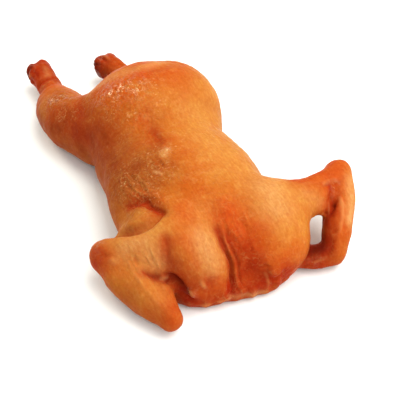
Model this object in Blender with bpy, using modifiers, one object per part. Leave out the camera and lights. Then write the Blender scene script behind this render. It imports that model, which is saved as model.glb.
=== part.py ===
"""Smoked whole chicken lying on its breast, wings bent and legs stretched back.

Blender 4.5, metres, +Z up, the neck end towards -Y and the legs towards +Y.  Each muscle, limb
and skin web is a named form in millimetres.  Hulls of scaled spheres give the rough body, the
Remesh modifier makes it one skin, the skin is drawn onto the blended forms with their creases,
and the Decimate modifier brings it to its final triangle count.
"""

from typing import NamedTuple

import bmesh
import bpy
import numpy as np
from mathutils import Matrix

NAME = "chicken"
MILLIMETRE = 0.001

FIRST_VOXEL = 2.6  # mm, size of the first remesh
SECOND_VOXEL = 2.1  # mm, size of the second remesh, done on the drawn skin
TRIANGLES = 11600  # triangles kept in the finished part
SPLINE_STEPS = 4  # straight steps between two stations of a limb or crease
REACH = 26.0  # mm, distance beyond which a limb no longer pulls on the blend
FLOOR_ROUND = 2.0  # mm, rounding where the flesh meets the flat it rests on
SLOPE_STEP = 0.3  # mm, step of the slope measurement
LONGEST_PULL = 2.5  # mm, furthest a vertex moves in one pull
EVENING_STEPS = 3  # passes of smoothing between two rounds of pulls
SNAP = 0.3  # mm, vertices closer than this to the floor are set on it

SKIN_COLOUR = (0.62, 0.22, 0.05, 1.0)
SKIN_ROUGHNESS = 0.45


class Lump(NamedTuple):
    """Ellipsoid of flesh: centre, half sizes, pitch in degrees about X, blend with the rest."""

    centre: tuple
    half: tuple
    blend: float
    pitch: float = 0.0


class Limb(NamedTuple):
    """Tapered limb through stations (x, y, z, half width, half thickness)."""

    stations: tuple
    blend: float


class Web(NamedTuple):
    """Three-cornered sheet of skin and flesh of one half thickness."""

    corners: tuple
    half_thickness: float
    blend: float


class Crease(NamedTuple):
    """Line pressed into the skin through (x, y, z, depth); a negative depth stands proud."""

    path: tuple
    half_width: float


TORSO = (
    Lump((-2, -48, 26.5), (57, 68, 31), 16),  # breast
    Lump((2.8, -18, 34), (50, 80, 28), 16),  # back
    Lump((-30, 14, 22), (17, 26.5, 18), 12),  # flank on the bird's right
    Lump((12.5, 50, 37), (51, 48, 41.7), 18),  # rump
    Lump((-24, -94, 24), (27, 28, 27), 10),  # shoulder lobe on the bird's right
    Lump((29, -99, 25), (32.5, 32, 29), 9),  # shoulder lobe on the bird's left
    Lump((4, -104, 11), (44, 24, 15), 9),  # neck skin
)

TAIL = Limb(((5, 78, 44, 22, 15), (7, 98, 35, 14, 11), (5, 112, 27, 9.5, 7)), 9)

NECK_SKIN_EDGE = Limb(
    (
        (-42, -102, 7, 6, 8),
        (-33, -110.5, 7, 6, 8),
        (-24, -115, 7, 6, 8),
        (-14, -115, 7, 6, 8),
        (-1, -119, 7, 6, 8),
        (9, -122, 8, 6, 8),
        (18, -124, 9, 6, 9),
        (26, -122, 11, 6, 10),
        (38, -113, 14, 7, 10),
    ),
    5,
)

RIGHT_LEG = (
    Lump((-27, 67, 24.5), (21.5, 27, 26), 16),  # thigh
    Limb(
        (
            (-29, 69, 24, 19, 21),
            (-37.6, 90, 21.5, 22.4, 22.5),
            (-39, 118, 19, 20, 19),
            (-35, 142, 15, 11.5, 12),
            (-33.5, 157, 15, 9.5, 9),
        ),
        12,
    ),  # drumstick
    Limb(((-33.5, 157, 15, 9.5, 9), (-34, 168, 16, 10.5, 10.5), (-35, 175, 17, 11, 11.5)), 4),
    Lump((-38.5, 180, 19), (6.5, 6, 7), 4),  # three knuckles of the hock
    Lump((-31, 181, 20), (6, 6, 7), 4),
    Lump((-36, 179, 11), (7, 6, 6), 4),
)

LEFT_LEG = (
    Lump((44, 50, 32), (24, 38, 33), 16),  # thigh
    Limb(
        (
            (48, 62, 28, 25, 25),
            (46, 90, 24, 24, 24),
            (38, 116, 20, 18, 18),
            (30, 136, 17, 11, 11),
            (27, 146, 17, 8.5, 8.5),
        ),
        12,
    ),  # drumstick
    Limb(((27, 146, 17, 8.5, 8.5), (25, 153, 17.5, 10.5, 10.5), (22.5, 158, 17.5, 11.5, 11.5)), 4),
    Lump((17, 162, 20), (6.5, 6, 7), 4),  # three knuckles of the hock
    Lump((26, 164, 19), (6, 6, 7), 4),
    Lump((20, 162, 11), (7, 6, 6), 4),
)

RIGHT_WING = (
    Limb(((-38, -82, 42, 20, 14), (-58, -72, 32, 16, 13), (-75.5, -61.5, 23, 10, 11)), 12),
    Limb(
        (
            (-75.5, -63, 20, 9, 10.5),
            (-70.5, -83, 19, 14, 13.5),
            (-65, -106, 16, 10.5, 14),
            (-57.5, -126, 12, 6.5, 9.5),
        ),
        8,
    ),  # forearm
    Limb(((-57.5, -125, 12, 7.5, 9), (-55, -114, 18, 7, 9), (-52, -104, 22, 6, 8)), 3),  # hand
    Web(((-42, -96, 36), (-68, -74, 24), (-56, -102, 20)), 7, 7),
)

LEFT_WING = (
    Limb(
        (
            (38, -85, 42, 21, 14),
            (66, -90, 40, 14.5, 12),
            (88, -86, 39, 10.5, 12),
            (103.5, -79.5, 38.6, 8.2, 10.4),
        ),
        12,
    ),  # upper arm
    Limb(
        (
            (102.5, -79, 38.5, 8.6, 10.4),
            (95.5, -92, 33, 11.5, 12),
            (82.5, -110.5, 23, 10.8, 12),
            (72, -124, 12, 8.5, 9.5),
        ),
        6,
    ),  # forearm
    Limb(((72, -124, 11.5, 8, 9.5), (58, -119.5, 9.5, 9, 8.5), (40, -105.5, 9, 9, 6.5)), 4),  # hand
    Web(((48, -95.5, 38), (92, -88, 38), (80, -101, 33.5)), 5, 5),
)

CREASES = (
    # deep furrow down the middle of the neck end, its shallow partner and the fold between
    Crease(
        (
            (-4, -78, 58, 0),
            (-7, -91, 54, 2),
            (-9, -103, 49, 3.2),
            (-9, -111, 43, 4),
            (-8, -116, 37, 4.6),
            (-7.5, -120, 29, 5),
            (-10, -125, 19, 4.5),
            (-11, -129, 7, 3),
        ),
        3.4,
    ),
    Crease(
        (
            (-1, -90, 55, 0),
            (-2.5, -103, 48, 1),
            (-2.5, -112, 42, 1.5),
            (-1.5, -118, 34, 2.2),
            (-1, -123, 26, 2.4),
            (1, -128, 18, 1.4),
        ),
        3,
    ),
    Crease(
        (
            (-6, -98, 51, 0),
            (-6, -108, 45, -0.9),
            (-5.2, -116, 38, -1.2),
            (-5, -121, 28, -1.2),
            (-5, -127, 18, -0.6),
        ),
        2.4,
    ),
    # armpit of the bird's right wing and the bulge under it
    Crease(
        (
            (-57, -41, 38, 0),
            (-51, -45, 44, 1.5),
            (-47, -48, 48, 2.5),
            (-42.5, -51, 51, 3.6),
            (-40, -56, 53, 4.6),
            (-38, -62, 54, 4.6),
            (-36.5, -69, 55, 3.6),
            (-36, -76, 56, 1.5),
        ),
        4,
    ),
    Crease(((-48, -60, 50, -2.4), (-54, -66, 46, -2.6)), 8),
    # rear edge of the right upper arm, where it lies over the flank
    Crease(
        (
            (-37, -72, 53, 1),
            (-43, -75, 53, 4),
            (-50, -75, 50, 5.5),
            (-57, -71, 45, 5.5),
            (-63, -64, 39, 4),
            (-68, -55, 31, 1.5),
            (-71, -48, 24, 0),
        ),
        4,
    ),
    # where the right forearm lies against the shoulder, its ridge and the hollow at its tip
    Crease(
        (
            (-66, -92, 32, 0),
            (-62, -97, 31, 1.4),
            (-56, -103, 30, 2.4),
            (-50, -107.5, 29, 3),
            (-46, -111, 27, 4),
        ),
        3,
    ),
    Crease(
        (
            (-69, -84, 34, 0),
            (-65, -94, 32, -1),
            (-64, -105, 29, -1.3),
            (-61, -115, 25, -1.2),
            (-59, -124, 21, -0.5),
        ),
        4,
    ),
    Crease(((-43, -112, 24, 1), (-43.5, -117, 17, 4), (-44, -121, 8, 5)), 4.5),
    Crease(((-38, -118, 20, -2.2), (-37.5, -119, 19, -2.2)), 3),
    # soft valley between the right wing and its shoulder lobe
    Crease(
        (
            (-43, -86, 57, 0),
            (-45, -93, 54, 1.5),
            (-47, -97, 49, 2),
            (-49, -101, 42, 2),
            (-50, -105, 35, 1),
        ),
        6,
    ),
    # dents over the edge of the neck skin, and the small nub
    Crease(((-28, -118, 34, 0.8), (-26, -121, 27, 1.4), (-27, -123, 21, 0.8)), 4),
    Crease(((-2, -121, 30, 1), (3, -127, 24, 2.5), (8, -130, 21, 3), (13, -131, 20, 2)), 4),
    Crease(((18, -131, 23, -3.5), (19, -131, 23, -3.5)), 4),
    # hollow at the bird's left elbow and the two ridges of that forearm
    Crease(((86, -91, 48, 1), (87, -98, 45, 3), (82, -103, 40, 3.5), (77, -107, 34, 2)), 3.5),
    Crease(((90, -98, 43, 0), (84, -106, 38, -1), (78, -118, 30, -1.5), (70, -128, 20, -1)), 3),
    Crease(((104, -80, 44, 0), (104, -90, 40, -1.5), (98, -103, 32, -1.5), (86, -118, 20, -1)), 4),
    # pinch of the waist on the bird's left and the dip in front of the rump
    Crease(((63, 22, 36, 1), (52, 18, 56, 1.6), (36, 14, 66, 1), (24, 12, 68, 0)), 7),
    Crease(((-6, 16, 67, 1), (0, 5, 64, 1.5), (6, -10, 62, 0)), 6),
    # notches between the knuckles of the hocks
    Crease(((-35.5, 190, 18, 2), (-35.5, 184, 25, 2)), 3),
    Crease(((21.5, 172, 18, 2), (21.5, 166, 25, 2)), 3),
    # closed vent under the tail
    Crease(((-5, 106, 15, 2), (3, 109, 15, 3.5), (11, 106, 15, 2)), 4),
)

FORMS = TORSO + (TAIL, NECK_SKIN_EDGE) + RIGHT_LEG + LEFT_LEG + RIGHT_WING + LEFT_WING


def spline(stations):
    """Return the rows of stations run through by a smooth curve, SPLINE_STEPS rows for each."""
    rows = np.array(stations, dtype=float)
    padded = np.vstack([2 * rows[0] - rows[1], rows, 2 * rows[-1] - rows[-2]])
    out = []
    for before, here, after, beyond in zip(padded, padded[1:], padded[2:], padded[3:]):
        for t in np.arange(SPLINE_STEPS) / SPLINE_STEPS:
            linear = after - before
            square = 2 * before - 5 * here + 4 * after - beyond
            cubic = 3 * (here - after) + beyond - before
            out.append(here + 0.5 * (linear * t + square * t * t + cubic * t**3))
    out.append(rows[-1])
    return np.array(out)


def nearest_on_line(points, line):
    """Return for each point its place along the line, in rows, and its distance squared."""
    place = np.zeros(len(points))
    best = np.full(len(points), np.inf)
    for row, (start, end) in enumerate(zip(line, line[1:])):
        step = end - start
        t = np.clip((points - start) @ step / (step @ step), 0, 1)
        offset = points - start - t[:, None] * step
        distance = np.einsum("ij,ij->i", offset, offset)
        closer = distance < best
        best[closer] = distance[closer]
        place[closer] = row + t[closer]
    return place, best


def ellipsoid_distance(first, second, least_half):
    """Return the distance to an ellipsoid from the offset scaled by its halves, once and twice."""
    return np.where(second > 1e-6, first * (first - 1) / np.maximum(second, 1e-6), -least_half)


def lump_distance(lump, points):
    """Return the signed distance from the points to one ellipsoid, about true near its skin."""
    turn = np.array(Matrix.Rotation(np.radians(lump.pitch), 3, "X"))
    half = np.array(lump.half, dtype=float)
    offset = (points - np.array(lump.centre)) @ turn
    first = np.linalg.norm(offset / half, axis=1)
    second = np.linalg.norm(offset / half**2, axis=1)
    return ellipsoid_distance(first, second, half.min())


def limb_distance(limb, points):
    """Return the signed distance from the points to one tapered limb, REACH where far away."""
    rows = spline(limb.stations)
    line = rows[:, :3]
    along = np.gradient(line, axis=0)
    along /= np.linalg.norm(along, axis=1)[:, None]
    upward = np.array((0.0, 0.0, 1.0)) - along * along[:, 2:3]
    upward /= np.linalg.norm(upward, axis=1)[:, None]
    margin = rows[:, 3:].max() + REACH
    near = ((points > line.min(0) - margin) & (points < line.max(0) + margin)).all(1)
    out = np.full(len(points), REACH)
    if not near.any():
        return out
    place, _ = nearest_on_line(points[near], line)
    row = np.minimum(place.astype(int), len(rows) - 2)
    part = (place - row)[:, None]
    mixed = rows[row] * (1 - part) + rows[row + 1] * part
    up = upward[row] * (1 - part) + upward[row + 1] * part
    offset = points[near] - mixed[:, :3]
    height = np.einsum("ij,ij->i", offset, up)
    width = np.sqrt(np.maximum(np.einsum("ij,ij->i", offset, offset) - height**2, 0))
    half_width = mixed[:, 3]
    half_height = mixed[:, 4]
    first = np.hypot(width / half_width, height / half_height)
    second = np.hypot(width / half_width**2, height / half_height**2)
    distance = ellipsoid_distance(first, second, np.minimum(half_width, half_height))
    out[near] = np.minimum(distance, REACH)
    return out


def web_distance(web, points):
    """Return the signed distance from the points to one three-cornered sheet."""
    corners = np.array(web.corners, dtype=float)
    across = np.cross(corners[1] - corners[0], corners[2] - corners[0])
    across /= np.linalg.norm(across)
    _, edge = nearest_on_line(points, corners[[0, 1, 2, 0]])
    inside = np.ones(len(points), dtype=bool)
    for start, end in zip(corners, corners[[1, 2, 0]]):
        inside &= (points - start) @ np.cross(across, end - start) >= 0
    face = np.abs((points - corners[0]) @ across)
    return np.where(inside, face, np.sqrt(edge)) - web.half_thickness


DISTANCES = {Lump: lump_distance, Limb: limb_distance, Web: web_distance}


def soft_join(first, second, blend):
    """Return the smaller of two distances, rounded over where they are within blend."""
    share = np.clip(0.5 + 0.5 * (second - first) / blend, 0, 1)
    return second * (1 - share) + first * share - blend * share * (1 - share)


def crease_depth(points):
    """Return how far the creases press the skin in at the points, negative where proud."""
    out = np.zeros(len(points))
    for crease in CREASES:
        rows = spline(crease.path)
        margin = 2.6 * crease.half_width
        low = rows[:, :3].min(0) - margin
        high = rows[:, :3].max(0) + margin
        near = ((points > low) & (points < high)).all(1)
        if near.any():
            place, distance = nearest_on_line(points[near], rows[:, :3])
            depth = np.interp(place, np.arange(len(rows)), rows[:, 3])
            out[near] += depth * np.exp(-distance / crease.half_width**2)
    return out


def flesh(points):
    """Return the signed distance from points in millimetres to the skin of the bird."""
    out = None
    for form in FORMS:
        distance = DISTANCES[type(form)](form, points)
        out = distance if out is None else soft_join(out, distance, form.blend)
    return -soft_join(-out - crease_depth(points), points[:, 2], FLOOR_ROUND)


def balls_of(form):
    """Return the groups of (centre, half sizes) whose hulls make up the rough form."""
    if isinstance(form, Lump):
        return [[(form.centre, form.half)]]
    if isinstance(form, Web):
        return [[(corner, (form.half_thickness,) * 3) for corner in form.corners]]
    balls = [(row[:3], (row[3], row[3], row[4])) for row in form.stations]
    return [list(pair) for pair in zip(balls, balls[1:])]


def add_hull(body, balls):
    """Add to the mesh body the hull of a group of scaled spheres."""
    hull = bmesh.new()
    for centre, half in balls:
        place = Matrix.Translation(centre) @ Matrix.Diagonal((*half, 1.0))
        bmesh.ops.create_icosphere(hull, subdivisions=3, radius=1.0, matrix=place)
    found = bmesh.ops.convex_hull(hull, input=hull.verts)
    loose = [item for item in found["geom_interior"] if isinstance(item, bmesh.types.BMVert)]
    bmesh.ops.delete(hull, geom=list(set(loose)), context="VERTS")
    bmesh.ops.scale(hull, vec=(MILLIMETRE,) * 3, verts=hull.verts)
    piece = bpy.data.meshes.new("hull")
    hull.to_mesh(piece)
    hull.free()
    body.from_mesh(piece)
    bpy.data.meshes.remove(piece)


def rough_body():
    """Return the object that holds the hull of every form, still overlapping."""
    body = bmesh.new()
    for form in FORMS:
        for balls in balls_of(form):
            add_hull(body, balls)
    mesh = bpy.data.meshes.new(NAME)
    body.to_mesh(mesh)
    body.free()
    return bpy.data.objects.new(NAME, mesh)


def apply_modifiers(item):
    """Replace the object's mesh by the result of its modifiers."""
    bpy.context.view_layer.update()
    depsgraph = bpy.context.evaluated_depsgraph_get()
    finished = bpy.data.meshes.new_from_object(item.evaluated_get(depsgraph))
    item.modifiers.clear()
    item.data = finished


def remesh(item, voxel):
    """Rebuild the object's skin as one closed mesh of even faces, voxel millimetres wide."""
    modifier = item.modifiers.new("skin", "REMESH")
    modifier.mode = "VOXEL"
    modifier.voxel_size = voxel * MILLIMETRE
    apply_modifiers(item)


def draw_onto_flesh(item, pulls):
    """Move the object's vertices onto the skin of the bird by repeated short pulls."""
    flat = np.empty(len(item.data.vertices) * 3)
    item.data.vertices.foreach_get("co", flat)
    points = flat.reshape(-1, 3) / MILLIMETRE
    for _ in range(pulls):
        slope = np.empty_like(points)
        for axis in range(3):
            step = np.zeros(3)
            step[axis] = SLOPE_STEP
            slope[:, axis] = (flesh(points + step) - flesh(points - step)) / (2 * SLOPE_STEP)
        pull = flesh(points) / np.maximum((slope * slope).sum(1), 0.25)
        points -= np.clip(pull, -LONGEST_PULL, LONGEST_PULL)[:, None] * slope
    item.data.vertices.foreach_set("co", (points * MILLIMETRE).ravel())
    item.data.update()


def even_out(item):
    """Smooth the object's skin a little, so that its faces lie evenly before the last pulls."""
    modifier = item.modifiers.new("even", "SMOOTH")
    modifier.factor = 0.5
    modifier.iterations = EVENING_STEPS
    apply_modifiers(item)


def thin_out(item):
    """Bring the object's skin down to the triangle count it is kept at."""
    triangles = sum(len(face.vertices) - 2 for face in item.data.polygons)
    modifier = item.modifiers.new("thin", "DECIMATE")
    modifier.decimate_type = "COLLAPSE"
    modifier.ratio = TRIANGLES / triangles
    modifier.use_collapse_triangulate = True
    apply_modifiers(item)


def settle(item):
    """Centre the object's box on the Z axis and lay its underside flat on Z = 0."""
    points = np.array([vertex.co for vertex in item.data.vertices])
    middle = (points.min(0) + points.max(0)) / 2
    points -= (middle[0], middle[1], points[:, 2].min())
    points[points[:, 2] < SNAP * MILLIMETRE, 2] = 0.0
    item.data.vertices.foreach_set("co", points.ravel())
    item.data.update()


def skin_material():
    """Return the plain smoked-skin material."""
    material = bpy.data.materials.new("smoked_skin")
    material.use_nodes = True
    shader = material.node_tree.nodes["Principled BSDF"]
    shader.inputs["Base Color"].default_value = SKIN_COLOUR
    shader.inputs["Roughness"].default_value = SKIN_ROUGHNESS
    return material


def main():
    """Build the chicken as one closed solid in its own collection."""
    for item in list(bpy.data.objects):
        bpy.data.objects.remove(item)
    collection = bpy.data.collections.new("smoked_whole_chicken")
    bpy.context.scene.collection.children.link(collection)
    chicken = rough_body()
    collection.objects.link(chicken)
    remesh(chicken, FIRST_VOXEL)
    draw_onto_flesh(chicken, 5)
    even_out(chicken)
    remesh(chicken, SECOND_VOXEL)
    draw_onto_flesh(chicken, 4)
    even_out(chicken)
    draw_onto_flesh(chicken, 2)
    thin_out(chicken)
    settle(chicken)
    chicken.data.materials.append(skin_material())


main()
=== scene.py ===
"""Looks of a smoked whole chicken that lies on its breast.

The bird is worked out in millimetres, in its own directions: +Z up, +Y towards the ends of the
legs, -Y towards the neck, +X towards the bird's own left.  Its muscles, limbs and skin webs are
blended into one skin, which is then creased, roughened, stained and given painted shade and
highlights, and set on the fixed frame.
"""

import logging
from collections.abc import Iterable
from dataclasses import dataclass, field
from enum import Enum

import bmesh
import bpy
import numpy as np
from mathutils import Matrix, Vector

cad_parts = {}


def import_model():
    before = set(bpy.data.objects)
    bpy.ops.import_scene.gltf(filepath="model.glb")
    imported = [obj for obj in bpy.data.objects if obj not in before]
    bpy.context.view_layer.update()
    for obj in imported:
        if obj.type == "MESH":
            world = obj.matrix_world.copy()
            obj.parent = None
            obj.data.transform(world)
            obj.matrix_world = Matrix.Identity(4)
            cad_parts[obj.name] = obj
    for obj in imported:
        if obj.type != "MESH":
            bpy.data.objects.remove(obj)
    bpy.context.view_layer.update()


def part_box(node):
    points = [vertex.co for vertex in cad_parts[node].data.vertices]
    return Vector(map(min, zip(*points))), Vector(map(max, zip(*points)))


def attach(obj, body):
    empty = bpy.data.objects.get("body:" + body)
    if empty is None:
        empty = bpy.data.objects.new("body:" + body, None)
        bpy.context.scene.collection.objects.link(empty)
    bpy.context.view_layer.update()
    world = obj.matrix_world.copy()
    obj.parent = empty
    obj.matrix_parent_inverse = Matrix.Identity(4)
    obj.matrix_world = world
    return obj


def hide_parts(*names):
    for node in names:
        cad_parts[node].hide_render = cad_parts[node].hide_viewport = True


LOG = logging.getLogger("smoked_chicken")

MILLIMETRE = 0.001
NODE = "chicken"
BODY = "root"

SPLINE_STEPS = 4
TINY = 1e-6
REACH = 26.0  # mm, a limb further away than this doesn't pull on the blend
FLOOR_ROUND = 2.0  # mm
MARGIN = 2.6  # half widths of a line, beyond which it has faded
REFINE_REACH = 0.95  # half widths of a line, within which the skin's faces are split
MIX_BELOW, MIX_ABOVE, MIX_RESULT = 6, 7, 2  # sockets of the node that mixes colours

Points = np.ndarray
Row = tuple[float, ...]
Balls = list[tuple[Row, Row]]


def spline(stations: Iterable[Row]) -> Points:
    """Run a smooth curve through rows of numbers.

    Args:
        stations: the rows that the curve passes through.

    Returns:
        SPLINE_STEPS rows for each stretch between two stations, and the last station.
    """
    rows = np.array(list(stations), dtype=float)
    padded = np.vstack([2 * rows[0] - rows[1], rows, 2 * rows[-1] - rows[-2]])
    out = []
    for before, here, after, beyond in zip(padded, padded[1:], padded[2:], padded[3:]):
        for t in np.arange(SPLINE_STEPS) / SPLINE_STEPS:
            linear = after - before
            square = 2 * before - 5 * here + 4 * after - beyond
            cubic = 3 * (here - after) + beyond - before
            out.append(here + 0.5 * (linear * t + square * t * t + cubic * t**3))
    out.append(rows[-1])
    return np.array(out)


def nearest_on_line(points: Points, line: Points) -> tuple[Points, Points]:
    """Find where on a line each point is nearest.

    Args:
        points: rows of x, y and z.
        line: the corners of the line, in the same units.

    Returns:
        Each point's place along the line, counted in corners, and its distance squared.
    """
    place = np.zeros(len(points))
    best = np.full(len(points), np.inf)
    for row, (start, end) in enumerate(zip(line, line[1:])):
        step = end - start
        t = np.clip((points - start) @ step / (step @ step), 0, 1)
        offset = points - start - t[:, None] * step
        distance = np.einsum("ij,ij->i", offset, offset)
        closer = distance < best
        best[closer] = distance[closer]
        place[closer] = row + t[closer]
    return place, best


def within(points: Points, line: Points, margin: float) -> Points:
    """Pick the points in the box round a line.

    Args:
        points: rows of x, y and z.
        line: the corners of the line, in the same units.
        margin: how far the box stands out round the line.

    Returns:
        For each point, whether the box holds it.
    """
    return ((points > line.min(0) - margin) & (points < line.max(0) + margin)).all(1)


def ellipsoid_distance(first: Points, second: Points, least_half: Points | float) -> Points:
    """Turn scaled lengths of an offset into a distance to an ellipsoid's skin.

    Args:
        first: lengths of the offset divided by the half sizes.
        second: lengths of the offset divided by the half sizes squared.
        least_half: the smallest half size, used at the very middle.

    Returns:
        Signed distances, about true near the skin.
    """
    return np.where(second > TINY, first * (first - 1) / np.maximum(second, TINY), -least_half)


def soft_join(first: Points, second: Points, blend: float) -> Points:
    """Take the smaller of two distances, rounded over where they meet.

    Args:
        first: distances to one form.
        second: distances to the other form.
        blend: how far from each other they still affect one another.

    Returns:
        Distances to the two forms grown together.
    """
    share = np.clip(0.5 + 0.5 * (second - first) / blend, 0, 1)
    return second * (1 - share) + first * share - blend * share * (1 - share)


@dataclass(frozen=True)
class Lump:
    """Ellipsoid of flesh, blended with what came before it."""

    centre: Row
    half: Row
    blend: float

    def distance(self, points: Points) -> Points:
        """Measure how far points are from the ellipsoid.

        Args:
            points: rows of x, y and z in millimetres.

        Returns:
            Signed distances.
        """
        half = np.array(self.half, dtype=float)
        offset = points - np.array(self.centre)
        first = np.linalg.norm(offset / half, axis=1)
        second = np.linalg.norm(offset / half**2, axis=1)
        return ellipsoid_distance(first, second, half.min())

    def balls(self) -> list[Balls]:
        """Return the groups of (centre, half sizes) whose hulls make up the rough form."""
        return [[(self.centre, self.half)]]


@dataclass(frozen=True)
class Limb:
    """Tapered limb through stations (x, y, z, half width, half thickness)."""

    stations: tuple[Row, ...]
    blend: float

    def distance(self, points: Points) -> Points:
        """Measure how far points are from the limb's skin.

        Args:
            points: rows of x, y and z in millimetres.

        Returns:
            Signed distances, REACH where the limb is far away.
        """
        rows = spline(self.stations)
        line = rows[:, :3]
        along = np.gradient(line, axis=0)
        along /= np.linalg.norm(along, axis=1)[:, None]
        upward = np.array((0.0, 0.0, 1.0)) - along * along[:, 2:3]
        upward /= np.linalg.norm(upward, axis=1)[:, None]
        near = within(points, line, rows[:, 3:].max() + REACH)
        out = np.full(len(points), REACH)
        if not near.any():
            return out
        place, _ = nearest_on_line(points[near], line)
        row = np.minimum(place.astype(int), len(rows) - 2)
        part = (place - row)[:, None]
        mixed = rows[row] * (1 - part) + rows[row + 1] * part
        up = upward[row] * (1 - part) + upward[row + 1] * part
        offset = points[near] - mixed[:, :3]
        height = np.einsum("ij,ij->i", offset, up)
        width = np.sqrt(np.maximum(np.einsum("ij,ij->i", offset, offset) - height**2, 0))
        first = np.hypot(width / mixed[:, 3], height / mixed[:, 4])
        second = np.hypot(width / mixed[:, 3] ** 2, height / mixed[:, 4] ** 2)
        distance = ellipsoid_distance(first, second, np.minimum(mixed[:, 3], mixed[:, 4]))
        out[near] = np.minimum(distance, REACH)
        return out

    def balls(self) -> list[Balls]:
        """Return the groups of (centre, half sizes) whose hulls make up the rough form."""
        balls = [(row[:3], (row[3], row[3], row[4])) for row in self.stations]
        return [list(pair) for pair in zip(balls, balls[1:])]


@dataclass(frozen=True)
class Web:
    """Three-cornered sheet of skin and flesh of one half thickness."""

    corners: tuple[Row, Row, Row]
    half_thickness: float
    blend: float

    def distance(self, points: Points) -> Points:
        """Measure how far points are from the sheet.

        Args:
            points: rows of x, y and z in millimetres.

        Returns:
            Signed distances.
        """
        corners = np.array(self.corners, dtype=float)
        across = np.cross(corners[1] - corners[0], corners[2] - corners[0])
        across /= np.linalg.norm(across)
        _, edge = nearest_on_line(points, corners[[0, 1, 2, 0]])
        inside = np.ones(len(points), dtype=bool)
        for start, end in zip(corners, corners[[1, 2, 0]]):
            inside &= (points - start) @ np.cross(across, end - start) >= 0
        face = np.abs((points - corners[0]) @ across)
        return np.where(inside, face, np.sqrt(edge)) - self.half_thickness

    def balls(self) -> list[Balls]:
        """Return the groups of (centre, half sizes) whose hulls make up the rough form."""
        return [[(corner, (self.half_thickness,) * 3) for corner in self.corners]]


Form = Lump | Limb | Web


@dataclass(frozen=True)
class Line:
    """Line pressed into the skin through (x, y, z, depth); a negative depth stands proud."""

    path: tuple[Row, ...]
    half_width: float

    def depth(self, points: Points) -> Points:
        """Measure how deep the line presses the skin in at some points.

        Args:
            points: rows of x, y and z in millimetres.

        Returns:
            Depths in millimetres, 0 away from the line.
        """
        rows = spline(self.path)
        near = within(points, rows[:, :3], MARGIN * self.half_width)
        out = np.zeros(len(points))
        if near.any():
            place, distance = nearest_on_line(points[near], rows[:, :3])
            depth = np.interp(place, np.arange(len(rows)), rows[:, 3])
            out[near] = depth * np.exp(-distance / self.half_width**2)
        return out

    def reaches(self, points: Points) -> Points:
        """Find the points that are so near that the line shows there.

        Args:
            points: rows of x, y and z in millimetres.

        Returns:
            For each point, whether it is that near.
        """
        rows = spline(self.path)[:, :3]
        margin = REFINE_REACH * self.half_width
        near = within(points, rows, margin)
        if near.any():
            _, distance = nearest_on_line(points[near], rows)
            near[near] = distance < margin**2
        return near


@dataclass(frozen=True)
class Fan:
    """Family of fine wrinkles that fill the skin between two guide lines."""

    first: tuple[Row, ...]
    last: tuple[Row, ...]
    count: int
    depth: float
    half_width: float
    seed: int
    jitter: float = 0.35  # of the gap between two wrinkles
    sway: float = 0.35  # mm, to each side
    bends: tuple[float, float] = (4, 9)  # radians of sway along a wrinkle
    starts: tuple[float, float] = (0, 6)  # radians, where the sway begins
    depths: tuple[float, float] = (0.5, 1.15)  # shares of the depth
    taper: float = 0.6  # power by which a wrinkle fades towards its ends
    cuts: tuple[int, int] = (4, 3)  # up to this part of a wrinkle is left off at each end
    proud: float = 0.6  # share of the wrinkles that stand proud

    def lines(self) -> list[Line]:
        """Draw the wrinkles, each a little different in length, depth and course.

        Returns:
            The wrinkles, in order from the first guide line to the last.
        """
        chance = np.random.default_rng(self.seed)
        start, end = spline(self.first), spline(self.last)
        lines = []
        for number in range(self.count):
            share = (number + 0.5 + chance.uniform(-self.jitter, self.jitter)) / self.count
            rows = start + (end - start) * share
            low = int(chance.integers(0, max(1, len(rows) // self.cuts[0])))
            high = len(rows) - int(chance.integers(0, max(1, len(rows) // self.cuts[1])))
            rows = rows[low:high]
            along = np.linspace(0, 1, len(rows))
            sway = np.sin(along * chance.uniform(*self.bends) + chance.uniform(*self.starts))
            rows = rows + chance.normal(size=3) * self.sway * sway[:, None]
            fade = np.sin(np.pi * along) ** self.taper
            depth = self.depth * chance.uniform(*self.depths) * fade
            depth *= chance.choice((-1.0, 1.0), p=(self.proud, 1 - self.proud))
            path = tuple((*row, float(deep)) for row, deep in zip(rows.tolist(), depth))
            lines.append(Line(path[:: SPLINE_STEPS // 2], self.half_width))
        return lines


class Tone(Enum):
    """Ways in which a patch of skin differs from the plain orange of the rest, several of them
    painted light or shade.
    """

    RUDDY = "ruddy"  # red-orange, where the skin is thin
    FLUSH = "flush"  # deep red at cut ends and joints, and painted shade in folds and furrows
    SMOKE = "smoke"  # red-brown: browning on the sides that hung lowest in the smoke, mixed with painted shade on the sides away from the light and near the floor
    GOLD_AND_LIGHT = "gold"  # yellow-orange on fat skin, and painted light on the upper sides and the side towards the light
    PALE_AND_SHEEN = "pale"  # pinkish, dull where the skin is lifted; elsewhere painted highlight and sheen on lit bulges and the far edge of the rump
    HOLLOW_SHADE = "deep"  # almost black red: painted shade at the bottom of hollows
    OCHRE = "ochre"  # brown-yellow over the armpit, and painted shade over the side of the back away from the light
    GOOSE = "goose"  # raised pores
    WET = "wet"  # glossy with fat
    FOLD = "fold"  # uneven with small folds


PRESSED = "pressed"  # written beside the tones: how deep a fine line is pressed in, which the finish paints as shade
RAISED = "raised"  # written beside the tones: how high a fine line stands proud, which the finish paints as fat and highlight


@dataclass(frozen=True)
class Patch:
    """Stain, painted shade or painted highlight of one tone round a line of places, in millimetres.
    """

    tone: Tone
    places: tuple[Row, ...]
    radius: float
    strength: float

    def weight(self, points: Points) -> Points:
        """Measure how strongly the patch covers some points.

        Args:
            points: rows of x, y and z in millimetres.

        Returns:
            Shares from 0 to 1.
        """
        places = np.array(self.places, dtype=float)
        if len(places) == 1:
            distance = ((points - places[0]) ** 2).sum(1)
        else:
            _, distance = nearest_on_line(points, places)
        return self.strength * np.exp(-distance / self.radius**2)


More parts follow.
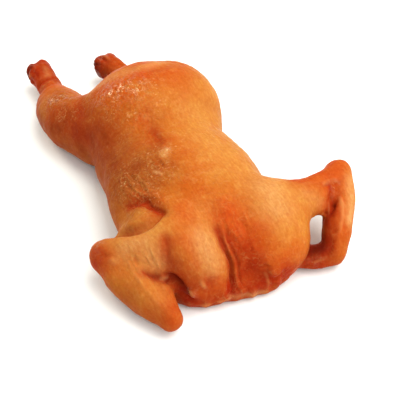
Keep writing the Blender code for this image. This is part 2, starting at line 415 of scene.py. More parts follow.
@dataclass(frozen=True)
class Waves:
    """Smooth unevenness made of many plane waves in seeded directions."""

    length: float
    height: float
    seed: int
    count: int = 28
    stretch: Row = (1.0, 1.0, 1.0)
    spread: Row = (0.65, 1.5)  # least and most waves for each length

    def rise(self, points: Points) -> Points:
        """Measure how high the unevenness is at some points.

        Args:
            points: rows of x, y and z in millimetres.

        Returns:
            Heights in millimetres, as often negative as positive.
        """
        chance = np.random.default_rng(self.seed)
        ways = chance.normal(size=(self.count, 3))
        ways /= np.linalg.norm(ways, axis=1)[:, None]
        ways *= chance.uniform(*self.spread, size=(self.count, 1)) * 2 * np.pi / self.length
        ways /= np.array(self.stretch)
        turns = chance.uniform(0, 2 * np.pi, size=self.count)
        total = np.zeros(len(points))
        for way, turn in zip(ways, turns):
            total += np.cos(points @ way + turn)
        return self.height * total / np.sqrt(self.count / 2)


@dataclass(frozen=True)
class Pores:
    """Raised pores on a jittered lattice, as plucked skin has."""

    spacing: float
    radius: float
    height: float
    seed: int
    edge: float = 0.15  # share of a cell that stays free of pores along its sides
    mixing: Row = (127.1, 311.7, 74.7)  # odd factors that scatter the places
    turns: Row = (1.0, 1.31, 1.73)  # one for each axis
    scatter: float = 43758.5453

    def rise(self, points: Points) -> Points:
        """Measure how far the pores raise the skin at some points.

        Args:
            points: rows of x, y and z in millimetres.

        Returns:
            Heights in millimetres.
        """
        cell = np.floor(points / self.spacing).astype(np.int64)
        nearest = np.full(len(points), np.inf)
        for dx in (-1, 0, 1):
            for dy in (-1, 0, 1):
                for dz in (-1, 0, 1):
                    there = cell + (dx, dy, dz)
                    centre = (there + self.jitter(there)) * self.spacing
                    distance = ((points - centre) ** 2).sum(1)
                    nearest = np.minimum(nearest, distance)
        return self.height * np.exp(-nearest / self.radius**2)

    def jitter(self, cell: Points) -> Points:
        """Find where in its lattice cell each pore sits, always the same for the same cell.

        Args:
            cell: whole numbers of the cells along x, y and z.

        Returns:
            Places inside the cells, from 0 to 1 along each axis.
        """
        mixed = cell @ np.array(self.mixing) + self.seed
        spread = [np.modf(np.abs(np.sin(mixed * k) * self.scatter))[0] for k in self.turns]
        return self.edge + (1 - 2 * self.edge) * np.stack(spread, axis=1)


@dataclass
class Torso:
    """Breast, back, rump, tail and the neck end with its two shoulder lobes."""

    name: str = "torso"
    breast: Lump = Lump((-2, -48, 26.5), (57, 68, 31), 16)
    back: Lump = Lump((2.8, -18, 34), (50, 80, 28), 16)
    right_flank: Lump = Lump((-30, 14, 22), (17, 26.5, 18), 12)
    rump: Lump = Lump((12.5, 50, 37), (51, 48, 41.7), 18)
    right_lobe: Lump = Lump((-24, -94, 24), (27, 28, 27), 10)
    left_lobe: Lump = Lump((29, -99, 25), (32.5, 32, 29), 9)
    neck_skin: Lump = Lump((4, -104, 11), (44, 24, 15), 9)
    tail: Limb = Limb(((5, 78, 44, 22, 15), (7, 98, 35, 14, 11), (5, 112, 27, 9.5, 7)), 9)
    neck_edge: Limb = Limb(
        ((-42, -102, 7, 6, 8), (-33, -110.5, 7, 6, 8), (-24, -115, 7, 6, 8), (-14, -115, 7, 6, 8),
         (-1, -119, 7, 6, 8), (9, -122, 8, 6, 8), (18, -124, 9, 6, 9), (26, -122, 11, 6, 10),
         (38, -113, 14, 7, 10)), 5
    )
    frill_count: int = 17
    frill_height: float = 0.7  # mm
    frill_width: float = 2.3  # mm, half of a scallop
    frill_turns: tuple[float, float] = (0.9, -0.6)  # by turns pressed in and standing proud
    frill_sway: float = 0.4  # share by which the scallops differ
    frill_beat: float = 2.3  # radians of that sway from one scallop to the next
    frill_rows: tuple[Row, ...] = ((6.5, 3, 1), (7.5, 9, 1), (6, 15, 0))  # out, height, depth

    def forms(self) -> list[Form]:
        """Gather the flesh of the torso.

        Returns:
            The lumps and limbs, in the order in which they are blended.
        """
        return [
            self.breast,
            self.back,
            self.right_flank,
            self.rump,
            self.right_lobe,
            self.left_lobe,
            self.neck_skin,
            self.tail,
            self.neck_edge,
        ]

    def main_lines(self) -> list[Line]:
        """Gather the furrows and folds that the solid has too.

        Returns:
            The lines, each with its half width.
        """
        return [
            # deep furrow down the neck end, its shallow partner and the fold between them
            Line(
                ((-4, -78, 58, 0), (-7, -91, 54, 2), (-9, -103, 49, 3.2), (-9, -111, 43, 4),
                 (-8, -116, 37, 4.6), (-7.5, -120, 29, 5), (-10, -125, 19, 4.5), (-11, -129, 7, 3)),
                3.4
            ),
            Line(
                ((-1, -90, 55, 0), (-2.5, -103, 48, 1), (-2.5, -112, 42, 1.5),
                 (-1.5, -118, 34, 2.2), (-1, -123, 26, 2.4), (1, -128, 18, 1.4)), 3
            ),
            Line(
                ((-6, -98, 51, 0), (-6, -108, 45, -0.9), (-5.2, -116, 38, -1.2),
                 (-5, -121, 28, -1.2), (-5, -127, 18, -0.6)), 2.4
            ),
            # dents over the edge of the neck skin, and the small nub
            Line(((-28, -118, 34, 0.8), (-26, -121, 27, 1.4), (-27, -123, 21, 0.8)), 4),
            Line(((-2, -121, 30, 1), (3, -127, 24, 2.5), (8, -130, 21, 3), (13, -131, 20, 2)), 4),
            Line(((18, -131, 23, -3.5), (19, -131, 23, -3.5)), 4),
            # pinch of the waist on the left and the dip in front of the rump
            Line(((63, 22, 36, 1.0), (52, 18, 56, 1.6), (36, 14, 66, 1), (24, 12, 68, 0)), 7),
            Line(((-6, 16, 67, 1), (0, 5, 64, 1.5), (6, -10, 62, 0)), 6),
            # closed vent under the tail
            Line(((-5, 106, 15, 2), (3, 109, 15, 3.5), (11, 106, 15, 2)), 4),
        ]

    def fine_lines(self) -> list[Line]:
        """Return the small wrinkles, furrows and the frill along the cut neck skin."""
        return [*self.neck_folds(), *self.neck_frill(), *self.back_furrows()]

    def neck_folds(self) -> list[Line]:
        """Gather the sharp folds of the neck end and the wrinkles beside them.

        Returns:
            The fine lines.
        """
        return [
            # sharp bottom of the deep furrow, its partner and the thin ridges between them
            Line(
                ((-7, -91, 52, 0), (-9, -102, 47, 1), (-9, -109, 42, 1.8), (-8, -113, 36, 2.4),
                 (-7, -116, 30, 2.6), (-8.5, -119, 24, 2.2), (-10, -122, 16, 1.2)), 1.4
            ),
            Line(
                ((-1, -88, 54, 0.3), (-3, -101, 48, 0.8), (-4.5, -108, 43, 1),
                 (-3.5, -113, 38, 1.4), (-2.5, -117, 30, 1.8), (-3.5, -121, 23, 1.8),
                 (-3.5, -125, 18, 1.2), (0, -128, 13, 0.5)), 1.2
            ),
            Line(
                ((-3, -96, 51, -0.2), (-6.2, -106, 45, -0.45), (-6, -114, 37, -0.5),
                 (-5.5, -118, 27, -0.5), (-6, -124, 17, -0.4), (-2, -128, 11, -0.2)), 0.9
            ),
            Line(
                ((-8, -98, 50, 0), (-7.5, -106, 45, -0.6), (-6.5, -112, 39, -0.7),
                 (-5, -117, 32, 0)), 0.9
            ),
            Line(
                ((-2, -104, 47, 0), (-2.8, -110, 42, -0.5), (-1.5, -116, 34, -0.6),
                 (-2, -121, 26, 0)), 1.0
            ),
            Line(((-10, -84, 57, 0), (-11, -92, 54, 0.7), (-10.5, -101, 50, 0)), 1.2),
            Line(((-6, -80, 58, 0), (-5, -90, 55, 0.8), (-5, -98, 51, 0.4)), 1.1),
            # shadowed side of the right lobe, and the soft dent at its foot
            Line(
                ((-44, -91, 54, 0), (-44.5, -94, 51, 0.8), (-46, -98, 47, 0.6),
                 (-48, -102, 41, 0.3)), 2.4
            ),
            Line(((-31, -117, 33, 0), (-31.5, -120, 28, -0.9), (-28, -123, 22, -0.6)), 1.8),
            Line(((-27, -118, 32, 0.3), (-26, -121, 26, 0.4)), 1.8),
            # rim of the neck skin and the curls over the nub
            Line(
                ((-35, -118, 7, -0.4), (-27, -122, 7, -0.9), (-23, -124, 9, -0.7),
                 (-13, -126, 9, -0.9)), 1.8
            ),
            Line(((-42, -112, 17, 0.8), (-38, -117, 13, 1.2), (-34, -119, 12, 0)), 2),
            Line(((13, -127, 22, -0.4), (14, -129, 18, -0.8), (15, -129, 13, -0.5)), 1.5),
            Line(((9, -124, 29, 0), (13, -127, 29, 1.1), (17, -128, 28, 0.3)), 1.3),
            Line(((10, -127, 25, 0.3), (14, -130, 25, -0.6), (18, -132, 27, 0)), 1.2),
            Line(((14, -131, 19, 1.2), (19, -132, 17.5, 2), (23, -131, 20, 1)), 1.8),
            Line(((24, -130, 26, 0), (26, -131, 21, 0.8), (25, -130, 14, 0)), 1.6),
            *Fan(
                ((-3, -74, 58), (-4, -90, 54), (-1, -106, 46), (2, -116, 36)),
                ((18, -80, 58), (22, -98, 54), (22, -112, 45), (20, -122, 36)),
                count=15, depth=0.32, half_width=1.0, seed=41,
            ).lines(),
            *Fan(
                ((-12, -84, 56), (-14, -98, 52), (-14, -110, 45), (-15, -118, 33)),
                ((-34, -84, 56), (-34, -96, 53), (-33, -107, 47), (-34, -114, 36)),
                count=12, depth=0.22, half_width=1.1, seed=42,
            ).lines(),
            *Fan(
                ((24, -84, 57), (30, -100, 52), (30, -116, 42), (26, -126, 32)),
                ((46, -86, 54), (50, -100, 48), (46, -114, 38), (38, -122, 28)),
                count=13, depth=0.28, half_width=1.0, seed=43,
            ).lines(),
            *Fan(
                ((-8, -122, 24), (-10, -124, 15), (-12, -126, 8)),
                ((-32, -116, 24), (-32, -119, 15), (-34, -119, 8)),
                count=8, depth=0.6, half_width=1.2, seed=44,
            ).lines(),
        ]

    def neck_frill(self) -> list[Line]:
        """Run scallops along the cut edge of the neck skin.

        Returns:
            One short upright line for each scallop.
        """
        lines = []
        path = spline([row[:2] for row in self.neck_edge.stations])
        corners = np.arange(len(path))
        for number, step in enumerate(np.linspace(0, len(path) - 1, self.frill_count)):
            x, y = (float(np.interp(step, corners, path[:, axis])) for axis in range(2))
            uneven = 1 + self.frill_sway * float(np.sin(number * self.frill_beat))
            depth = self.frill_height * self.frill_turns[number % 2] * uneven
            rows = [(x, y - out, high, depth * share) for out, high, share in self.frill_rows]
            lines.append(Line(tuple(rows), self.frill_width))
        return lines

    def back_furrows(self) -> list[Line]:
        """Gather the soft furrows over the rump, the waist and the back.

        Returns:
            The fine lines.
        """
        return [
            # furrow along the far side of the rump and the lip beside the far hock
            Line(((10, 53, 79, 0), (16, 51, 79, 0.7), (25, 53, 78, 0.8), (37, 58, 75, 0.3)), 3.5),
            Line(((3, 60, 78, 0), (14, 60, 78, -0.6), (27, 62, 75, -0.6), (38, 66, 70, 0)), 4),
            Line(((-3, 104, 45, 0.5), (1, 93, 58, 1.2), (5, 84, 66, 0.8), (12, 76, 71, 0)), 2.2),
            # dents in front of the rump
            Line(((-6, 8, 64, 0.3), (-6, 2, 62, 1.1), (-8, -8, 62, 0.9), (-10, -14, 61, 0)), 4),
            Line(((-9, 20, 66, 0), (-6, 16, 66, -0.7), (-2, 12, 66, 0)), 3),
            Line(
                ((-8, 7, 62, 0), (-8, 1, 62, 0.4), (-6, -5, 62, 0.5), (-8, -12, 62, 0.4),
                 (-8, -17, 63, 0)), 1.4
            ),
            Line(((-7, -20, 63, 0), (-8, -24, 63, -0.7), (-13, -28, 62, 0)), 1.3),
            Line(((-14, -20, 62, 0), (-15, -24, 62, -0.6), (-18, -27, 62, 0)), 0.9),
            Line(((-12, -10, 61, -0.6), (-13, -12, 61, -0.6)), 0.9),
            Line(((-22, -20, 60, -0.4), (-24, -23, 60, -0.5)), 1.0),
            Line(
                ((-22, -28, 60, 0), (-24, -32, 60, -0.3), (-25, -37, 60, -0.1),
                 (-22, -43, 60, -0.4)), 0.9
            ),
            Line(((-17, -18, 61, 0.2), (-18, -30, 61, 0.4), (-14, -42, 60, 0.1)), 3.5),
            # valleys beside the drumstick and over the flank
            Line(((-28, 84, 50, 0), (-35, 72, 52, 0.8), (-42, 60, 48, 0.9), (-48, 46, 42, 0)), 5),
            Line(((-46, 16, 38, 0), (-50, 6, 34, 0.9), (-52, -4, 30, 0)), 5),
            *Fan(
                ((-18, 4, 62), (-16, -20, 62), (-20, -48, 61), (-20, -74, 59)),
                ((40, 0, 56), (42, -24, 56), (36, -50, 58), (30, -76, 58)),
                count=22, depth=0.22, half_width=1.5, seed=51,
            ).lines(),
            *Fan(
                ((52, 14, 44), (38, 12, 60), (24, 12, 66)),
                ((54, -6, 40), (40, -8, 55), (22, -10, 62)),
                count=6, depth=0.35, half_width=2, seed=52,
            ).lines(),
        ]

    def patches(self) -> list[Patch]:
        """Gather the stains of the torso and its painted light and shade.

        Returns:
            The patches, in any order.
        """
        return [
            # painted light on the upper and left sides, which face the light, and a painted
            # highlight on the left shoulder lobe
            Patch(Tone.GOLD_AND_LIGHT, ((33, 8, 62), (25, -40, 60), (44, -70, 54), (36, -92, 53)), 22, 0.7),
            Patch(Tone.PALE_AND_SHEEN, ((38, -84, 55), (35, -104, 53)), 11, 0.6),
            Patch(Tone.GOLD_AND_LIGHT, ((58, 30, 52), (55, 0, 44), (55, -40, 40)), 16, 0.75),
            Patch(Tone.RUDDY, ((-24, 70, 62), (-12, 60, 71), (-3, 54, 76), (10, 50, 79)), 9, 0.8),
            Patch(Tone.GOLD_AND_LIGHT, ((5, 25, 72),), 12, 0.35),
            # painted highlight on the top of the right shoulder lobe
            Patch(Tone.PALE_AND_SHEEN, ((-22, -103, 51), (-23, -110, 45), (-22, -115, 38)), 8, 0.65),
            Patch(Tone.GOLD_AND_LIGHT, ((-14, -86, 57), (-16, -100, 50)), 12, 0.7),
            # brown over the armpit and the right side of the back, partly painted shade on the side
            # away from the light
            Patch(Tone.OCHRE, ((-44, -25, 50), (-40, -40, 53)), 16, 0.75),
            Patch(Tone.OCHRE, ((-50, -56, 47), (-54, -66, 46)), 9, 0.8),
            Patch(Tone.RUDDY, ((-44, -44, 51), (-36, -51, 56), (-33, -62, 57)), 5, 0.6),
            Patch(Tone.GOLD_AND_LIGHT, ((-45, -30, 50), (-40, -42, 54)), 8, 0.5),
            Patch(Tone.OCHRE, ((-28, 10, 55), (-26, -14, 58), (-28, -34, 58)), 15, 0.5),
            Patch(Tone.OCHRE, ((-24, 30, 60),), 16, 0.4),
            # painted sheen along the far edge of the rump
            Patch(
                Tone.PALE_AND_SHEEN,
                ((-22, 78, 57), (-12, 68, 69), (0, 61, 76), (16, 57, 78), (32, 62, 74)), 5, 0.36
            ),
            Patch(Tone.RUDDY, ((-24, 88, 48), (-12, 84, 60), (2, 76, 70), (18, 70, 74)), 7, 0.8),
            Patch(Tone.PALE_AND_SHEEN, ((-8, -22, 63), (-12, -27, 62)), 2.6, 0.7),
            Patch(Tone.GOOSE, ((-9, -24, 63), (-23, -34, 60)), 8, 0.8),
            Patch(Tone.WET, ((-9, -24, 63),), 3.5, 0.9),
            Patch(Tone.PALE_AND_SHEEN, ((-22, -42, 60), (-25, -37, 60)), 1.4, 0.6),
            Patch(Tone.GOLD_AND_LIGHT, ((-36, -28, 55), (-35, -50, 55)), 6, 0.4),
            # painted shade mixed with smoke browning: down the bird's right side, away from the
            # light, low along its left side and in the dip before the rump
            Patch(Tone.SMOKE, ((-52, 66, 30), (-50, 30, 30), (-54, -10, 28)), 28, 0.9),
            Patch(
                Tone.SMOKE, ((-47, 59, 36), (-43, 45, 36), (-45, 0, 45), (-50, -34, 42)), 15, 0.5
            ),
            Patch(Tone.SMOKE, ((-33, 4, 53), (-36, 30, 56), (-40, 56, 50)), 16, 0.45),
            Patch(Tone.SMOKE, ((-40, -4, 49), (-33, -20, 56)), 11, 0.6),
            Patch(Tone.SMOKE, ((-42, -22, 50), (-38, -40, 53)), 14, 0.25),
            Patch(Tone.SMOKE, ((-18, -20, 61), (-18, -46, 60)), 12, 0.45),
            Patch(Tone.SMOKE, ((-31, -20, 58), (-29, -44, 58)), 10, 0.3),
            Patch(Tone.SMOKE, ((-34, 30, 52), (-36, 14, 48)), 12, 0.5),
            Patch(Tone.SMOKE, ((56, 60, 24), (60, 0, 22), (60, -50, 22)), 18, 0.55),
            Patch(Tone.SMOKE, ((-6, 4, 62), (-8, -12, 62)), 6, 0.5),
            # painted shade on the steep face of the left shoulder lobe beside the furrows
            Patch(Tone.FLUSH, ((4, -114, 38), (7, -121, 30), (5, -127, 20)), 9, 0.75),
            Patch(Tone.SMOKE, ((6, -124, 26), (12, -126, 22)), 6, 0.6),
            Patch(
                Tone.RUDDY, ((3, -94, 54), (6, -110, 44), (12, -121, 32), (24, -125, 26)), 16, 1.0
            ),
            Patch(
                Tone.RUDDY,
                ((-38, -114, 10), (-14, -122, 12), (9, -128, 14), (32, -122, 14)), 12, 0.95
            ),
            Patch(Tone.GOLD_AND_LIGHT, ((30, -112, 42), (36, -116, 30)), 9, 0.6),
            Patch(Tone.RUDDY, ((12, 52, 79), (24, 40, 77), (34, 36, 74)), 14, 0.6),
            Patch(Tone.RUDDY, ((-22, 60, 66), (-18, 44, 70)), 12, 0.5),
            Patch(Tone.RUDDY, ((-8, 16, 66), (-8, -12, 62)), 8, 0.5),
            Patch(Tone.RUDDY, ((-47, 59, 39), (-42, 45, 35), (-34, 24, 54)), 14, 0.8),
            Patch(Tone.RUDDY, ((-22, -80, 57), (-30, -96, 52)), 10, 0.5),
            # painted shade on the outer lower side of the right shoulder lobe, at its foot and down
            # the furrows of the neck end
            Patch(Tone.SMOKE, ((-42, -104, 38), (-38, -111, 31), (-32, -116, 28)), 8, 0.7),
            Patch(Tone.RUDDY, ((-30, -120, 24), (-20, -122, 24), (-16, -122, 18)), 7, 0.8),
            Patch(Tone.FLUSH, ((-9, -100, 49), (-9, -121, 26), (-12, -126, 10)), 4, 1.0),
            Patch(Tone.FLUSH, ((-4, -104, 45), (-3, -112, 38), (-2, -122, 24)), 4, 0.9),
            Patch(Tone.HOLLOW_SHADE, ((-8, -112, 38), (-7.5, -117, 28), (-10, -122, 16)), 1.3, 0.4),
            Patch(
                Tone.FLUSH,
                ((-38, -114, 10), (-14, -124, 10), (9, -130, 12), (30, -124, 14)), 10, 0.8
            ),
            # painted shade on the shadowed side of the right shoulder lobe
            Patch(
                Tone.FLUSH,
                ((-44, -96, 48), (-46, -101, 42), (-40, -112, 32), (-30, -119, 26)), 7, 0.5
            ),
            Patch(Tone.RUDDY, ((-26, -121, 25),), 6, 0.8),
            Patch(Tone.FLUSH, ((18, -131, 18), (27, -130, 20)), 7, 0.9),
            Patch(Tone.GOLD_AND_LIGHT, ((14, -128, 23), (15, -130, 14)), 2.2, 0.7),
            Patch(Tone.FLUSH, ((-3, 104, 45), (1, 93, 58), (5, 84, 66)), 4, 0.7),
            Patch(Tone.PALE_AND_SHEEN, ((-13, -126, 9), (-5, -128, 9), (12, -129, 6)), 2.5, 0.4),
            Patch(Tone.GOOSE, ((-44, -25, 50), (-40, -47, 54), (-28, -30, 58)), 17, 1.0),
            Patch(
                Tone.GOOSE,
                ((-26, 60, 62), (-22, 48, 68), (2, 41, 77), (-16, 38, 70), (-8, 24, 68)), 17, 1.0
            ),
            Patch(Tone.GOOSE, ((0, 0, 62), (10, -40, 61)), 40, 0.3),
            Patch(Tone.WET, ((-19, 54, 68), (-14, 46, 72), (-6, 44, 75)), 9, 0.9),
            Patch(Tone.WET, ((2, 42, 77), (-2, 36, 75)), 5, 1.0),
            Patch(Tone.FOLD, ((0, -80, 57), (2, -105, 48), (3, -125, 30)), 16, 1.0),
            Patch(Tone.FOLD, ((-43, -28, 52), (-38, -46, 54)), 11, 0.7),
            Patch(Tone.FOLD, ((-14, -22, 62), (-24, -38, 60)), 10, 0.55),
            Patch(Tone.FOLD, ((-14, -124, 10), (20, -128, 12)), 12, 1.0),
            Patch(Tone.FOLD, ((20, -90, 56), (24, -110, 46), (26, -124, 30)), 19, 0.5),
            Patch(Tone.FOLD, ((-22, -92, 54), (-24, -112, 42)), 12, 0.4),
        ]


@dataclass
class Leg:
    """Thigh, drumstick and the hock where the foot was cut off."""

    name: str
    thigh: Lump
    drumstick: Limb
    hock: Limb
    knuckles: tuple[Lump, Lump, Lump]
    notch: Line
    stains: list[Patch] = field(default_factory=list)
    wrinkles: list[Line] = field(default_factory=list)

    def forms(self) -> list[Form]:
        """Return the flesh of the leg, in the order in which it is blended."""
        return [self.thigh, self.drumstick, self.hock, *self.knuckles]

    def main_lines(self) -> list[Line]:
        """Return the notch between the knuckles, which the solid has too."""
        return [self.notch]

    def fine_lines(self) -> list[Line]:
        """Return the small wrinkles of the leg."""
        return self.wrinkles

    def patches(self) -> list[Patch]:
        """Gather the stains and painted shade of the leg, its cut end always deep red.

        Returns:
            The patches, in any order.
        """
        ends = tuple(knuckle.centre for knuckle in self.knuckles)
        return [
            Patch(Tone.RUDDY, ends, 24, 1.0),
            Patch(Tone.FLUSH, ends, 15, 1.0),
            Patch(Tone.SMOKE, ends, 10, 0.5),
            Patch(Tone.WET, ends, 9, 0.3),
            *self.stains,
        ]


@dataclass
class Wing:
    """Upper arm, forearm and folded hand with the skin web between them."""

    name: str
    upper_arm: Limb
    forearm: Limb
    hand: Limb
    web: Web
    main: list[Line]
    wrinkles: list[Line] = field(default_factory=list)
    stains: list[Patch] = field(default_factory=list)

    def forms(self) -> list[Form]:
        """Return the flesh of the wing, in the order in which it is blended."""
        return [self.upper_arm, self.forearm, self.hand, self.web]

    def main_lines(self) -> list[Line]:
        """Return the ridges and hollows that the solid has too."""
        return self.main

    def fine_lines(self) -> list[Line]:
        """Return the small wrinkles of the wing."""
        return self.wrinkles

    def patches(self) -> list[Patch]:
        """Return the stains of the wing and its painted light and shade."""
        return self.stains


Part = Torso | Leg | Wing


def right_leg() -> Leg:
    """Shape the bird's right leg, the longer one as it lies.

    Returns:
        The leg.
    """
    return Leg(
        name="right_leg",
        thigh=Lump((-27, 67, 24.5), (21.5, 27, 26), 16),
        drumstick=Limb(
            ((-29, 69, 24, 19, 21), (-37.6, 90, 21.5, 22.4, 22.5), (-39, 118, 19, 20, 19),
             (-35, 142, 15, 11.5, 12), (-33.5, 157, 15, 9.5, 9)), 12
        ),
        hock=Limb(
            ((-33.5, 157, 15, 9.5, 9), (-34, 168, 16, 10.5, 10.5), (-35, 175, 17, 11, 11.5)), 4
        ),
        knuckles=(
            Lump((-38.5, 180, 19), (6.5, 6, 7), 4),
            Lump((-31, 181, 20), (6, 6, 7), 4),
            Lump((-36, 179, 11), (7, 6, 6), 4),
        ),
        notch=Line(((-35.5, 190, 18, 2), (-35.5, 184, 25, 2)), 3),
        stains=[
            Patch(Tone.FLUSH, ((-38, 172, 12), (-38, 158, 12)), 12, 0.9),
            Patch(Tone.FLUSH, ((-40, 154, 22), (-30, 154, 24)), 5, 0.7),
            Patch(Tone.FLUSH, ((-42, 176, 26), (-40, 168, 24)), 7, 0.9),
            # painted shade low on the cut end and in its crevices
            Patch(Tone.SMOKE, ((-44, 178, 18), (-42, 180, 12)), 8, 0.9),
            Patch(Tone.HOLLOW_SHADE, ((-42, 178, 27), (-46, 178, 20), (-46, 178, 12)), 3.0, 0.75),
            Patch(Tone.HOLLOW_SHADE, ((-43, 184, 24), (-46, 182, 17), (-44, 182, 10)), 3.0, 0.6),
            Patch(Tone.RUDDY, ((-34, 158, 24), (-37, 150, 24), (-38, 134, 28)), 14, 0.95),
            Patch(Tone.RUDDY, ((-44, 168, 22), (-40, 158, 24), (-30, 160, 24)), 8, 1.0),
            Patch(Tone.PALE_AND_SHEEN, ((-31, 168, 28), (-33, 160, 26)), 3, 0.4),
            # painted shade mixed with smoke browning, on the outer side of the thigh and drumstick
            # away from the light and in the valley beside them
            Patch(Tone.SMOKE, ((-60, 84, 20), (-60, 112, 16), (-50, 136, 12)), 15, 0.9),
            Patch(Tone.SMOKE, ((-52, 72, 34), (-46, 50, 38), (-44, 30, 38)), 14, 0.8),
            Patch(
                Tone.RUDDY, ((-54, 84, 36), (-50, 66, 42), (-44, 48, 44), (-42, 34, 46)), 16, 0.95
            ),
            Patch(Tone.FLUSH, ((-52, 64, 38), (-46, 46, 38)), 9, 0.45),
            Patch(Tone.OCHRE, ((-44, 98, 43), (-36, 118, 38)), 12, 0.5),
            Patch(Tone.FLUSH, ((-30, 80, 50), (-40, 64, 50)), 6, 0.35),
            Patch(Tone.SMOKE, ((-44, 104, 40), (-50, 92, 38)), 11, 0.35),
            Patch(Tone.GOOSE, ((-47, 101, 41), (-45, 84, 44)), 15, 0.9),
            Patch(Tone.WET, ((-50, 102, 40), (-42, 98, 45)), 6, 0.6),
            Patch(Tone.FOLD, ((-36, 150, 24), (-36, 138, 30)), 10, 0.7),
        ],
        wrinkles=[
            # edge of the skin round the ankle, and the sinews that run from it to the hock
            Line(
                ((-48, 154, 12, 0), (-44, 156, 20, 1.2), (-38, 155, 25, 1.5), (-31, 155, 25, 1),
                 (-26, 155, 18, 0)), 1.8
            ),
            Line(
                ((-48, 151, 13, 0), (-43, 151, 23, -0.9), (-36, 150, 27, -1), (-29, 150, 24, 0)), 2
            ),
            Line(((-44, 160, 16, 0), (-46, 170, 16, 1.6), (-46, 178, 16, 1)), 2.5),
            Line(
                ((-42, 176, 27, 0.4), (-46, 177, 20, 1.5), (-46, 178, 12, 1.5), (-43, 178, 6, 0.6)),
                1.5
            ),
            Line(((-43, 184, 24, 0.4), (-45, 183, 17, 1.3), (-43, 183, 9, 0.8)), 1.3),
            Line(((-44, 170, 25, 0), (-46, 173, 19, -0.9), (-46, 173, 10, -0.7)), 1.6),
            Line(((-36, 176, 29, 0.3), (-38, 183, 27, 1.3), (-39, 187, 22, 1)), 1.4),
            Line(((-33, 160, 24, 0), (-35, 170, 27, 1.1), (-37, 180, 27, 0.6)), 2),
            Line(((-40, 160, 23, 0), (-42, 168, 25, 0.8), (-43, 176, 25, 0)), 1.6),
            Line(((-44, 140, 24, 0), (-37, 141, 30, 0.6), (-28, 140, 24, 0)), 2.4),
            Line(((-24, 148, 16, 0), (-27, 134, 22, 0.8), (-24, 118, 24, 0)), 3),
        ],
    )


def left_leg() -> Leg:
    """Shape the bird's left leg, of which the rump hides the thigh.

    Returns:
        The leg.
    """
    return Leg(
        name="left_leg",
        thigh=Lump((44, 50, 32), (24, 38, 33), 16),
        drumstick=Limb(
            ((48, 62, 28, 25, 25), (46, 90, 24, 24, 24), (38, 116, 20, 18, 18),
             (30, 136, 17, 11, 11), (27, 146, 17, 8.5, 8.5)), 12
        ),
        hock=Limb(
            ((27, 146, 17, 8.5, 8.5), (25, 153, 17.5, 10.5, 10.5), (22.5, 158, 17.5, 11.5, 11.5)), 4
        ),
        knuckles=(
            Lump((17, 162, 20), (6.5, 6, 7), 4),
            Lump((26, 164, 19), (6, 6, 7), 4),
            Lump((20, 162, 11), (7, 6, 6), 4),
        ),
        notch=Line(((21.5, 172, 18, 2), (21.5, 166, 25, 2)), 3),
        stains=[
            Patch(Tone.FLUSH, ((16, 156, 14), (22, 148, 16), (30, 132, 18)), 10, 0.4),
            # painted shade low under the hock and in the crevices of its cut end
            Patch(Tone.SMOKE, ((12, 158, 12), (18, 150, 10)), 9, 0.8),
            Patch(Tone.HOLLOW_SHADE, ((10, 162, 22), (12, 158, 20), (12, 157, 10)), 4.0, 0.75),
            Patch(Tone.HOLLOW_SHADE, ((14, 166, 24), (17, 158, 29), (20, 150, 29)), 1.3, 0.5),
            Patch(Tone.RUDDY, ((18, 156, 28), (24, 146, 27), (32, 134, 32)), 5, 1.0),
            Patch(Tone.WET, ((17, 162, 27),), 4, 1.0),
            Patch(Tone.GOOSE, ((56, 90, 40), (50, 70, 52)), 18, 0.7),
            # painted light on the bird's left side, which faces the light, and painted shade low on
            # it
            Patch(Tone.GOLD_AND_LIGHT, ((62, 60, 40), (60, 30, 44)), 18, 0.5),
            Patch(Tone.SMOKE, ((66, 90, 18), (56, 112, 12)), 16, 0.7),
        ],
        wrinkles=[
            Line(((17, 142, 24, 0), (26, 144, 28, 0.9), (36, 142, 22, 0)), 2),
            Line(((16, 126, 26, 0), (28, 126, 34, -1.2), (40, 122, 36, 0)), 3),
            Line(((14, 152, 20, 0), (13, 158, 22, 1.2), (12, 163, 22, 0.6)), 2),
            Line(
                ((22, 142, 26, 0), (19, 150, 28, 0.8), (17, 158, 28, 1.3), (16, 164, 27, 0.6)), 1.5
            ),
            Line(((26, 140, 27, 0), (23, 150, 29, -0.8), (20, 160, 29, -0.6)), 1.4),
            Line(((31, 138, 26, 0), (27, 148, 28, 0.7), (25, 158, 29, 0.4)), 1.4),
            Line(((13, 154, 25, 0.5), (11, 160, 22, 1.2), (11, 164, 17, 0.8)), 1.4),
        ],
    )


